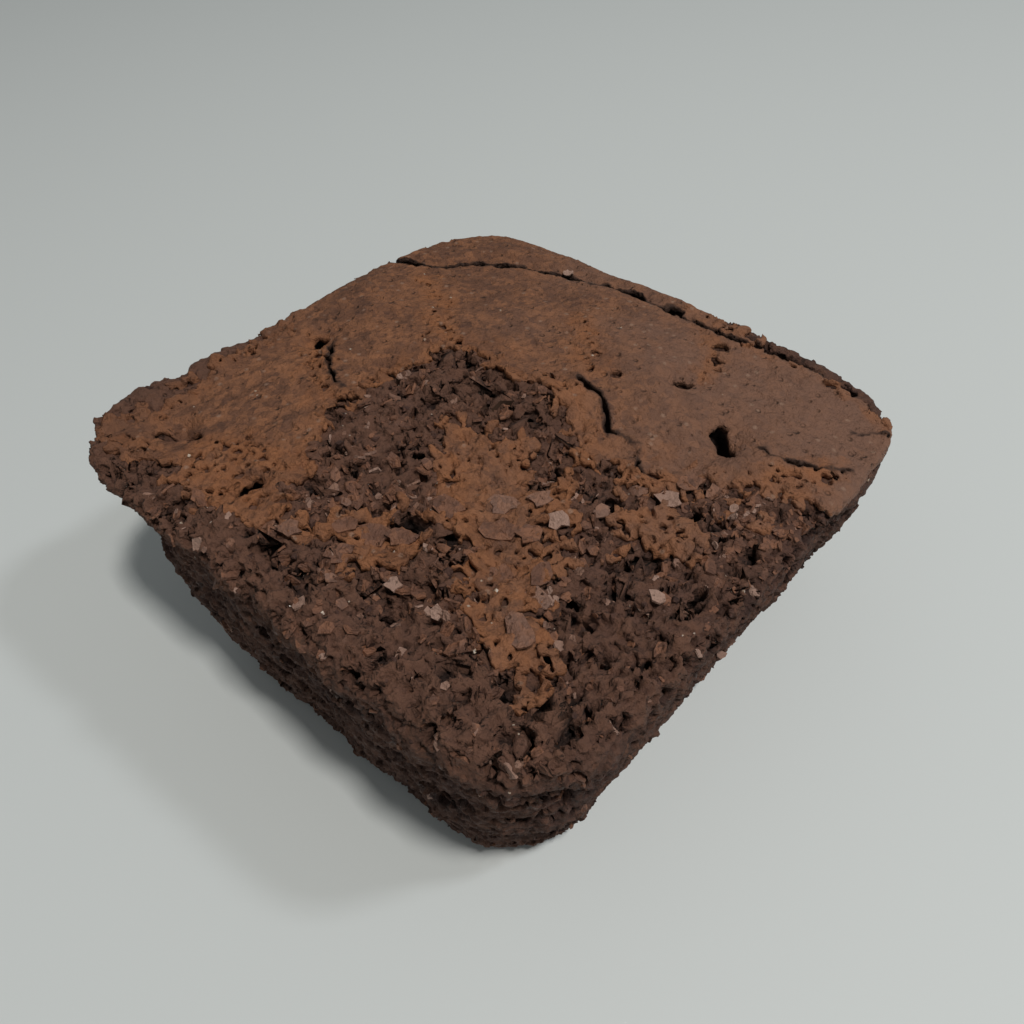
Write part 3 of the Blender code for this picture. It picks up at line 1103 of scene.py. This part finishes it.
def shared_groups():
    """The two shader groups that every material of the brownie but the sugar's uses, made once."""
    if "Baked Mottle" not in bpy.data.node_groups:
        shader_group("Baked Mottle", MOTTLE, baked_mottle)
        shader_group("Cake Grain", GRAIN, cake_grain)
    return bpy.data.node_groups["Baked Mottle"], bpy.data.node_groups["Cake Grain"]


def baked_surface(tree, shader, place, mottle_values, grain_values, tint):
    """Feeds a shader's colour and normal from the shared groups. Tint changes the colour on its way."""
    mottle, grain = shared_groups()
    colour = Flow(tree, use_group(tree, mottle, {"Place": place, **mottle_values}).outputs["Colour"])
    feed(tree, shader.inputs["Base Color"], tint(colour))
    height = Flow(tree, use_group(tree, grain, {"Place": place, **grain_values}).outputs["Height"])
    bump = add_node(tree, "ShaderNodeBump", {"Height": height, "Strength": 1.0, "Distance": 1.0})
    feed(tree, shader.inputs["Normal"], out(tree, bump))


def opaque(rgb):
    return (*rgb, 1.0)


def mottle_of(patch, speck, share, dark, light, specks, contrast=MOTTLE["Grain Contrast"]):
    """Values for Baked Mottle: its two sizes, the specks' share and its three colours."""
    return {
        "Patch Size": patch,
        "Speck Size": speck,
        "Speck Share": share,
        "Grain Contrast": contrast,
        "Dark": opaque(dark),
        "Light": opaque(light),
        "Specks": opaque(specks),
    }


def grain_of(**reliefs):
    """Values for Cake Grain: the size and height of each of its reliefs."""
    values = {}
    for label, (size, height) in reliefs.items():
        values[f"{label.title()} Size"] = size
        values[f"{label.title()} Height"] = height
    return values


def toned_towards(tree, colour, low):
    """A tint towards a colour by each piece's own tone, from none at low to full at 1."""
    def toned(base):
        return blend_colours(tree, rise(mark(tree, "tone"), low, 1.0), base, opaque(colour))

    return toned


def crumb_material(settings):
    """Crumb, glossy in spots where it is moist: darker in its hollows and cracks, partly moist crumb and
    partly painted shade, darker towards the bottom, and browner where it stands proud and near the top."""
    material, tree, shader = new_material("open_crumb")
    place = object_place(tree)
    depth = mark(tree, "depth")
    crack = mark(tree, "crack")

    def deepened(colour):
        # By height alone, the crumb turns lighter towards the top and darker towards the bottom.
        height = parts(place)[2]
        lighter_high = rise(height, 22.0, 29.0, 0.0, 0.55)
        colour = blend_colours(tree, lighter_high, colour, opaque(settings.proud))
        darker_low = rise(height, 10.0, 26.0, 0.42, 0.0)
        colour = blend_colours(tree, darker_low, colour, opaque(settings.dark))
        proud = rise(depth, -0.5, 0.5, 0.5, 0.0)
        colour = blend_colours(tree, proud, colour, opaque(settings.proud))
        # Painted shade: the deep hollows and the cracks turn to the deep colour, which is partly their
        # moist crumb and partly the shade that falls in them.
        deep = largest(rise(depth, 0.8, 1.9, 0.0, 0.9), rise(crack, -0.1, 0.4, 0.9, 0.0))
        return blend_colours(tree, deep, colour, opaque(settings.deep))

    mottle = mottle_of(8.0, 1.0, 0.60, settings.dark, settings.light, settings.specks, contrast=0.40)
    grain = grain_of(bump=(0.9, 0.22), grit=(0.36, 0.14), facet=(0.85, 1.0))
    baked_surface(tree, shader, place, mottle, grain, deepened)
    moist = rise(ripple(place, 1.4, detail=2.0, shift=12.0), 0.1, 0.6, 0.92, 0.45)
    feed(tree, shader.inputs["Roughness"], moist)
    shader.inputs["Specular IOR Level"].default_value = CRUMB_SHEEN
    return material


def crust_material(settings):
    """Matte papery crust: warm in the west, cooler in the east, orange where it is stippled."""
    material, tree, shader = new_material("papery_crust")
    place = object_place(tree)
    x, y, _ = parts(place)
    bare = mark(tree, "bare")
    porous = mark(tree, "porous")
    crack = mark(tree, "crack")

    def varied(colour):
        drift = ripple(place, 12.0, detail=3.0, shift=7.0) * 0.5
        cool = rise((x * 0.75 + y * 0.6) * (1.0 / 50.0) + drift, -0.2, 0.8)
        colour = blend_colours(tree, cool * 0.8, colour, opaque(settings.cool))
        toasted = largest(rise(bare, -4.0, -0.5, 0.0, 0.6), rise(porous, -1.5, 1.5, 0.7, 0.0))
        toasted = toasted * rise(ripple(place, 3.0, detail=3.0, shift=31.0), -0.5, 0.3)
        colour = blend_colours(tree, toasted, colour, opaque(settings.toasted))
        blister, _, _ = cells(place, 2.0, shift=5.0)
        pale = rise(blister, 0.12, 0.40, 0.75, 0.0)
        colour = blend_colours(tree, pale, colour, opaque(settings.blister))
        rim = rise(-x - y * 0.25, 28.0, 40.0, 0.0, 0.6)
        colour = blend_colours(tree, rim, colour, opaque(settings.dark))
        # Painted shade: along the cracks the crust turns to the colour inside them, which stands partly
        # for dark crumb and partly for the shade in them.
        return blend_colours(tree, rise(crack, 0.0, 0.45, 0.9, 0.0), colour, opaque(settings.gap))

    mottle = mottle_of(4.5, 0.9, 0.75, settings.dark, settings.warm, settings.specks, contrast=0.28)
    grain = grain_of(bump=(1.0, 0.30), grit=(0.40, 0.16), facet=(1.0, 0.55))
    baked_surface(tree, shader, place, mottle, grain, varied)
    rough = rise(ripple(place, 2.0, detail=3.0, shift=3.0), -0.6, 0.6, 0.65, 0.9)
    feed(tree, shader.inputs["Roughness"], rough)
    shader.inputs["Specular IOR Level"].default_value = CRUST_SHEEN
    return material


def flake_material(settings):
    """Flakes of crust: each between the crust's brown and pale, by its own tone."""
    material, tree, shader = new_material("crust_flake")
    place = object_place(tree)
    mottle = mottle_of(3.0, 0.8, 0.6, settings.brown, settings.orange, settings.specks, contrast=0.4)
    grain = grain_of(bump=(0.9, 0.24), grit=(0.30, 0.12), facet=(1.0, 0.5))
    baked_surface(tree, shader, place, mottle, grain, toned_towards(tree, settings.pale, 0.35))
    feed(tree, shader.inputs["Roughness"], rise(ripple(place, 1.5, shift=3.0), -0.5, 0.5, 0.5, 0.8))
    shader.inputs["Specular IOR Level"].default_value = CRUMB_SHEEN
    return material


def loose_crumb_material(settings):
    """Loose crumbs: from the body's dark crumb to toasted brown, by their own tone."""
    material, tree, shader = new_material("loose_crumb")
    place = object_place(tree)
    mottle = mottle_of(4.0, 0.7, 0.4, settings.dark, settings.light, settings.toasted)
    grain = grain_of(bump=(0.6, 0.14), grit=(0.24, 0.07))
    baked_surface(tree, shader, place, mottle, grain, toned_towards(tree, settings.toasted, 0.4))
    shader.inputs["Roughness"].default_value = 0.8
    shader.inputs["Specular IOR Level"].default_value = CRUMB_SHEEN
    return material


def sugar_material(settings):
    """Sugar crystals: pale, clear-coated and faintly brown from the crumb."""
    material, tree, shader = new_material("sugar_grain")
    place = object_place(tree)
    share = rise(ripple(place, 0.4, detail=2.0, shift=3.0), -0.5, 0.5)
    colour = blend_colours(tree, share, opaque(settings.sugar), opaque(settings.stained))
    feed(tree, shader.inputs["Base Color"], colour)
    feed(tree, shader.inputs["Roughness"], rise(ripple(place, 0.3, shift=8.0), -0.5, 0.5, 0.12, 0.35))
    shader.inputs["Coat Weight"].default_value = 0.5
    shader.inputs["Subsurface Weight"].default_value = 0.4
    shader.inputs["Subsurface Radius"].default_value = (0.0004, 0.0003, 0.0002)
    shader.inputs["Subsurface Scale"].default_value = 1.0
    return material


# --------------------------------------------------------------------------------------
# Settings.


def length(label, text, value):
    return bpy.props.FloatProperty(
        name=label, description=text, default=value, unit="LENGTH", precision=5, min=0.0
    )


def colour(label, text, value):
    return bpy.props.FloatVectorProperty(
        name=label, description=text, default=value, size=3, subtype="COLOR", min=0.0, max=1.0
    )


def count(label, text, value):
    return bpy.props.IntProperty(name=label, description=text, default=value, min=1)


def share(label, text, value):
    return bpy.props.FloatProperty(name=label, description=text, default=value, min=0.0)


class CrumbSettings(bpy.types.PropertyGroup):
    """Sizes and colours of the open crumb."""

    coarse_voxel: length("Coarse detail", "Cell of the mesh that is given its rough shape", 0.00040)
    fine_voxel: length("Fine detail", "Cell of the mesh that is chipped and pitted", 0.00024)
    pore_size: length("Pore spacing", "Spacing of the large hollows", 0.0046)
    lump_height: length("Lump height", "How far the crumb's lumps stand out", 0.0005)
    chip_size: length("Chip size", "Width of the crumb's broken chips", 0.0020)
    dark: colour("Dark", "Colour of the darkest crumb", (0.040, 0.020, 0.016))
    light: colour("Light", "Colour of the lighter crumb", (0.083, 0.041, 0.031))
    specks: colour("Specks", "Colour of the warm grains", (0.145, 0.067, 0.040))
    proud: colour("Proud", "Colour of what stands proud", (0.162, 0.077, 0.048))
    # The deep colour is partly moist crumb and partly painted shade in the hollows and cracks.
    deep: colour("Deep", "Colour of the deep hollows", (0.014, 0.007, 0.006))


class CrustSettings(bpy.types.PropertyGroup):
    """Sizes and colours of the crust."""

    voxel: length("Detail", "Finest cell of the crust", 0.00022)
    thickness: length("Thickness", "Thickness of the sheet", 0.0009)
    lift: length("Lift", "How far its borders curl up", 0.00025)
    most_triangles: count("Most triangles", "Triangles that the crust may have", 190000)
    warm: colour("Warm", "Colour of the crust in the west", (0.272, 0.117, 0.057))
    dark: colour("Dark", "Colour of the crust's darker patches", (0.146, 0.066, 0.038))
    cool: colour("Cool", "Colour of the crust in the east", (0.202, 0.107, 0.073))
    toasted: colour("Toasted", "Colour of the stippled crust", (0.302, 0.117, 0.046))
    specks: colour("Specks", "Colour of the crust's dark specks", (0.085, 0.039, 0.026))
    # Partly the dark crumb inside the cracks and partly painted shade.
    gap: colour("Gaps", "Colour inside the cracks", (0.030, 0.016, 0.012))
    blister: colour("Blisters", "Colour of the small pale blisters", (0.300, 0.180, 0.125))


class LooseSettings(bpy.types.PropertyGroup):
    """Amounts and colours of the flakes, crumbs and sugar."""

    flake_density: share("Flakes", "Small flakes to a square millimetre of broken top", 0.30)
    crumb_density: share("Crumbs", "Loose crumbs to a square millimetre", 0.05)
    sugar_density: share("Sugar", "Sugar grains to a square millimetre", 0.007)
    brown: colour("Brown", "Colour of the brown flakes", (0.150, 0.070, 0.045))
    orange: colour("Orange", "Colour of the toasted flakes", (0.245, 0.108, 0.060))
    pale: colour("Pale", "Colour of the palest flakes", (0.390, 0.245, 0.190))
    specks: colour("Specks", "Colour of the flakes' dark specks", (0.080, 0.038, 0.026))
    dark: colour("Dark crumbs", "Colour of the dark crumbs", (0.042, 0.019, 0.014))
    light: colour("Light crumbs", "Colour of the lighter crumbs", (0.090, 0.043, 0.031))
    toasted: colour("Toasted crumbs", "Colour of the toasted crumbs", (0.160, 0.072, 0.042))
    sugar: colour("Sugar", "Colour of the sugar", (0.520, 0.430, 0.350))
    stained: colour("Stained sugar", "Colour of sugar stained by the crumb", (0.300, 0.190, 0.130))


class StageSettings(bpy.types.PropertyGroup):
    """Colours of the stage."""

    floor_colour: colour("Floor", "Colour of the floor", (0.67, 0.70, 0.695))


# --------------------------------------------------------------------------------------
# Operators.

# Each quarter of the crumb and the way that it faces, in degrees from south to east.
QUARTERS = {"south": 0, "east": 90, "north": 180, "west": 270}
MARGIN = 1.0
CRUST_BELOW = 2.2
CRUST_ABOVE = 2.0


def grown_piece(name, tree, values, mesh=None):
    """Runs a tree on a mesh, or an empty one, and returns the result as a plain piece."""
    seed = placed(name + "_seed", mesh or bpy.data.meshes.new(name + "_seed"))
    run_tree(seed, tree, values)
    return baked_mesh(seed, name)


def remeshed(piece, voxel):
    """Adds a modifier that meshes the piece anew in even cells."""
    even = piece.modifiers.new("Even Mesh", "REMESH")
    even.mode = "VOXEL"
    even.voxel_size = voxel
    even.use_smooth_shade = True


# How far the closing walls of a quarter first run straight in from the skin, in metres and as the
# largest share of the brownie's thickness there.
SKIRT_DEPTH = 3.5 * MM
SKIRT_SHARE = 0.4


def closed_inside(piece):
    """Closes an open quarter: a skirt from its border straight in under the skin, so that it stays
    below the hollows, then a fan of faces to the brownie's middle."""
    solid = frame["nodes"][NODE].data
    skin = BVHTree.FromPolygons(
        [vertex.co for vertex in solid.vertices], [face.vertices for face in solid.polygons]
    )
    work = bmesh.new()
    work.from_mesh(piece.data)
    middle = work.verts.new((0.0, 0.0, 0.5 * (CAD_LOW[2] + CAD_HIGH[2])))
    border = [edge for edge in work.edges if edge.is_boundary]
    inner = {}
    for vertex in dict.fromkeys(vertex for edge in border for vertex in edge.verts):
        place, normal, _, _ = skin.find_nearest(vertex.co)
        # Where the brownie is thin, the skirt stops short of its far side.
        through = skin.ray_cast(place - normal * 0.1 * MM, -normal)[3] or SKIRT_DEPTH
        inner[vertex] = work.verts.new(vertex.co - normal * min(SKIRT_DEPTH, SKIRT_SHARE * through))
    for edge in border:
        loop = edge.link_loops[0]
        first, second = loop.link_loop_next.vert, loop.vert
        work.faces.new((first, second, inner[second], inner[first]))
        work.faces.new((inner[first], inner[second], middle))
    work.to_mesh(piece.data)
    work.free()


class BROWNIE_OT_crumb(bpy.types.Operator):
    """Grow the body of open crumb, in four quarters"""

    bl_idname = "brownie.crumb"
    bl_label = "Open Crumb"

    def execute(self, context):
        settings = context.scene.brownie_crumb
        guides = make_guides()
        material = crumb_material(settings)
        values = {
            **guides,
            "Pore Size": settings.pore_size / MM,
            "Lump Height": settings.lump_height / MM,
            "Chip Size": settings.chip_size / MM,
        }
        body = placed("crumb_body", guides["Solid"].data.copy())
        remeshed(body, settings.coarse_voxel)
        run_tree(body, rough_shape_tree(material), values)
        remeshed(body, settings.fine_voxel)
        run_tree(body, open_crumb_tree(material), values)
        run_tree(body, marks_tree(material), values)
        whole = baked_mesh(body, "crumb_whole")
        split = quarter_tree(material)
        pieces = []
        for side, facing in QUARTERS.items():
            values = {"Facing": math.radians(facing)}
            piece = grown_piece(f"crumb_{side}", split, values, whole.data)
            closed_inside(piece)
            pieces.append(piece)
        bpy.data.objects.remove(whole)
        clear_guides(guides)
        for piece in pieces:
            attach(piece, BODY)
            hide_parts(NODE)
        return {"FINISHED"}


class BROWNIE_OT_crust(bpy.types.Operator):
    """Lay the papery crust over the top"""

    bl_idname = "brownie.crust"
    bl_label = "Papery Crust"

    def execute(self, context):
        settings = context.scene.brownie_crust
        guides = make_guides()
        material = crust_material(settings)
        low = [CAD_LOW[0] / MM - MARGIN, CAD_LOW[1] / MM - MARGIN, -CRUST_BELOW]
        high = [CAD_HIGH[0] / MM + MARGIN, CAD_HIGH[1] / MM + MARGIN, CRUST_ABOVE]
        values = {
            **guides,
            "Voxel": settings.voxel / MM,
            "Low": low,
            "High": high,
            "Thickness": settings.thickness / MM,
            "Lift": settings.lift / MM,
        }
        piece = grown_piece("crust_full", crust_tree(material), values)
        piece = thinned(piece, settings.most_triangles)
        run_tree(piece, marks_tree(material), values)
        piece = baked_mesh(piece, "papery_crust")
        clear_guides(guides)
        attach(piece, BODY)
        return {"FINISHED"}


def thinned(piece, most):
    """Collapses a piece's mesh to at most this many triangles."""
    piece.data.calc_loop_triangles()
    full = len(piece.data.loop_triangles)
    if full <= most:
        return piece
    thinner = piece.modifiers.new("Thin", "DECIMATE")
    thinner.ratio = most / full
    thinner.use_collapse_triangulate = True
    return baked_mesh(piece, "thinned")


def scattered(name, shapes, hosts, material, seed, mask, spread):
    """Scatters shapes over the host pieces as one piece."""
    guides = make_guides()
    variants = {f"Shape {index}": placed(mesh.name, mesh) for index, mesh in enumerate(shapes)}
    grounds = {host: bpy.data.objects[host] for host in hosts}
    tree = scatter_tree(name, variants, grounds, material, seed, mask)
    values = dict(zip(SPREAD, spread))
    piece = grown_piece(name, tree, {**guides, **variants, **grounds, **values})
    clear_guides(variants)
    clear_guides(guides)
    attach(piece, BODY)


CRUMB_PIECES = [f"crumb_{side}" for side in QUARTERS]

# How many shapes each kind of loose piece comes in, and the seed of its scatter.
FLAKE_KINDS, CRUMB_KINDS, SUGAR_KINDS = 7, 5, 3
FLAKE_SEED, CRUMB_SEED, SUGAR_SEED = 11, 33, 51

# Smallest and largest size, sunk share and tilt of the scattered pieces.
FLAKE_SPREAD = (0.7, 2.3, 0.03, 0.45)
CRUMB_SPREAD = (0.40, 1.0, 0.22, 3.0)
SUGAR_SPREAD = (0.18, 0.45, 0.1, 3.0)


def broken_top(up, plan):
    """Where small flakes lie: on the open crumb at the front of the top, most of all near the crust."""
    front = rise(plan.x, -20.0, -15.0) * rise(plan.y, 14.0, 18.0, 1.0, 0.0)
    near = rise(plan.crust, 0.0, 4.0, 1.6, 0.35) + rise(plan.band, -1.0, 3.0, 1.6, 0.0)
    return on_top(up) * front * rise(plan.crust, 0.0, 0.4) * near


def anywhere_open(up, plan):
    """Where crumbs and grains cling: anywhere but at the base, and mostly on the top."""
    return rise(plan.z, 0.8, 2.5) * rise(up, 0.0, 0.6, 0.2, 1.0)


class BROWNIE_OT_loose(bpy.types.Operator):
    """Scatter flakes, crumbs and sugar grains"""

    bl_idname = "brownie.loose"
    bl_label = "Flakes, Crumbs and Sugar"

    def execute(self, context):
        settings = context.scene.brownie_loose
        flakes = flake_material(settings)
        shapes = [
            flake_mesh(f"small_flake_{seed}", 5 + seed % 3, 1.0, 0.8, 0.13, seed)
            for seed in range(FLAKE_KINDS)
        ]
        spread = (settings.flake_density, *FLAKE_SPREAD)
        scattered("small_flakes", shapes, CRUMB_PIECES, flakes, FLAKE_SEED, broken_top, spread)

        crumbs = loose_crumb_material(settings)
        shapes = [lump_mesh(f"loose_crumb_{seed}", 2, 0.55, seed) for seed in range(CRUMB_KINDS)]
        spread = (settings.crumb_density, *CRUMB_SPREAD)
        where = anywhere_open
        scattered("loose_crumbs", shapes, CRUMB_PIECES, crumbs, CRUMB_SEED, where, spread)

        sugar = sugar_material(settings)
        shapes = [grain_mesh(f"sugar_grain_{seed}", seed) for seed in range(SUGAR_KINDS)]
        hosts = (*CRUMB_PIECES, "papery_crust")
        spread = (settings.sugar_density, *SUGAR_SPREAD)
        scattered("sugar_grains", shapes, hosts, sugar, SUGAR_SEED, where, spread)
        return {"FINISHED"}


# Thickness of the large flakes and how far they are raised off the crumb, in millimetres.
FLAKE_THICKNESS = 0.22
FLAKE_LIFT = 0.15


class BROWNIE_OT_large_flakes(bpy.types.Operator):
    """Lay the large torn flakes on the broken area"""

    bl_idname = "brownie.large_flakes"
    bl_label = "Large Flakes"

    def execute(self, context):
        graph = context.evaluated_depsgraph_get()
        graph.update()
        high = Vector((0.0, 0.0, CAD_HIGH[2] + 0.01))
        work = bmesh.new()
        tones = []
        for index, (x, y, length_mm, width_mm, turn, tilt, tone) in enumerate(LARGE_FLAKES):
            start = high + Vector((x * MM, y * MM, 0.0))
            hit, place, *_ = context.scene.ray_cast(graph, start, (0.0, 0.0, -1.0))
            if not hit:
                raise RuntimeError(f"large flake {index} has nothing beneath it")
            mesh = flake_mesh("torn", 9 + index % 4, length_mm, width_mm, FLAKE_THICKNESS, index + 20)
            lie = Matrix.Rotation(math.radians(turn), 4, "Z") @ Matrix.Rotation(math.radians(tilt), 4, "X")
            lift = Matrix.Translation(place + Vector((0.0, 0.0, FLAKE_LIFT * MM)))
            mesh.transform(lift @ lie @ Matrix.Scale(MM, 4))
            work.from_mesh(mesh)
            tones += [tone] * len(mesh.vertices)
            bpy.data.meshes.remove(mesh)
        mesh = finished_mesh("large_flakes", work)
        mesh.attributes.new("tone", "FLOAT", "POINT").data.foreach_set("value", tones)
        mesh.materials.append(bpy.data.materials["crust_flake"])
        piece = placed("large_flakes", mesh)
        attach(piece, BODY)
        return {"FINISHED"}


CAMERA_PLACE = (0.05611, -0.05518, 0.09260)
CAMERA_AZIMUTH = 44.95
CAMERA_ELEVATION = 45.69
CAMERA_ROLL = -4.9
CAMERA_LENS = 32.16
CAMERA_SENSOR = 36.0
NEAREST_SEEN = 0.005

# Each light: the way to it, its distance, width and power, and its colour.
LIGHTS = {
    "key": ((13.0, -2.0, 30.0), 0.8, 0.09, 3.2, (1.0, 0.97, 0.92)),
    "second": ((20.0, 14.0, 30.0), 0.9, 0.09, 1.43, (0.92, 0.96, 1.0)),
}
ROOM_COLOUR = (0.95, 1.0, 1.0, 1.0)
ROOM_STRENGTH = 0.19
FLOOR_RADIUS = 2.0
FLOOR_ROUGHNESS = 0.6


def aimed_light(name, towards, distance, size, power, tint):
    """A square area light that shines on the brownie from a direction."""
    lamp = bpy.data.lights.new(name, "AREA")
    lamp.size = size
    lamp.energy = power
    lamp.color = tint
    light = placed(name, lamp)
    direction = Vector(towards).normalized()
    light.location = direction * distance
    light.rotation_mode = "QUATERNION"
    light.rotation_quaternion = direction.to_track_quat("Z", "Y")


class BROWNIE_OT_stage(bpy.types.Operator):
    """Set the floor, the lights and the camera"""

    bl_idname = "brownie.stage"
    bl_label = "Stage"

    def execute(self, context):
        settings = context.scene.brownie_stage
        work = bmesh.new()
        bmesh.ops.create_circle(work, cap_ends=True, radius=FLOOR_RADIUS, segments=64)
        floor = placed("floor", finished_mesh("floor", work))
        material, _, shader = new_material("pale_floor")
        shader.inputs["Base Color"].default_value = opaque(settings.floor_colour)
        shader.inputs["Roughness"].default_value = FLOOR_ROUGHNESS
        floor.data.materials.append(material)

        for name, light in LIGHTS.items():
            aimed_light(name, *light)
        world = bpy.data.worlds.new("soft_room")
        world.use_nodes = True
        background = world.node_tree.nodes["Background"]
        background.inputs["Color"].default_value = ROOM_COLOUR
        background.inputs["Strength"].default_value = ROOM_STRENGTH
        context.scene.world = world

        camera_data = bpy.data.cameras.new("camera")
        camera_data.lens = CAMERA_LENS
        camera_data.sensor_width = CAMERA_SENSOR
        camera_data.clip_start = NEAREST_SEEN
        camera = placed("camera", camera_data)
        azimuth, elevation = math.radians(CAMERA_AZIMUTH), math.radians(CAMERA_ELEVATION)
        back = Vector((
            math.sin(azimuth) * math.cos(elevation),
            -math.cos(azimuth) * math.cos(elevation),
            math.sin(elevation),
        ))
        level = back.to_track_quat("Z", "Y").to_matrix()
        roll = Matrix.Rotation(math.radians(CAMERA_ROLL), 3, "Z")
        camera.matrix_world = Matrix.Translation(CAMERA_PLACE) @ (level @ roll).to_4x4()
        context.scene.camera = camera
        context.scene.view_settings.view_transform = "Standard"
        return {"FINISHED"}


class BROWNIE_PT_panel(bpy.types.Panel):
    """Lists the steps that build the brownie"""

    bl_idname = "BROWNIE_PT_panel"
    bl_label = "Brownie"
    bl_space_type = "VIEW_3D"
    bl_region_type = "UI"
    bl_category = "Brownie"

    def draw(self, context):
        for step in STEPS:
            self.layout.operator(step.bl_idname)


STEPS = (BROWNIE_OT_crumb, BROWNIE_OT_crust, BROWNIE_OT_loose, BROWNIE_OT_large_flakes, BROWNIE_OT_stage)
SETTINGS = {
    "brownie_crumb": CrumbSettings,
    "brownie_crust": CrustSettings,
    "brownie_loose": LooseSettings,
    "brownie_stage": StageSettings,
}


def register():
    for group in SETTINGS.values():
        bpy.utils.register_class(group)
    for name, group in SETTINGS.items():
        setattr(bpy.types.Scene, name, bpy.props.PointerProperty(type=group))
    for kind in (*STEPS, BROWNIE_PT_panel):
        bpy.utils.register_class(kind)


def unregister():
    for kind in (*STEPS, BROWNIE_PT_panel):
        bpy.utils.unregister_class(kind)
    for name, group in SETTINGS.items():
        delattr(bpy.types.Scene, name)
        bpy.utils.unregister_class(group)


STARTUP_OBJECTS = ("Cube", "Light", "Camera")


def main():
    for startup in [thing for thing in bpy.data.objects if thing.name in STARTUP_OBJECTS]:
        bpy.data.objects.remove(startup)
    register()
    bpy.ops.brownie.crumb()
    bpy.ops.brownie.crust()
    bpy.ops.brownie.loose()
    bpy.ops.brownie.large_flakes()
    bpy.ops.brownie.stage()


if __name__ == "__main__":
    main()
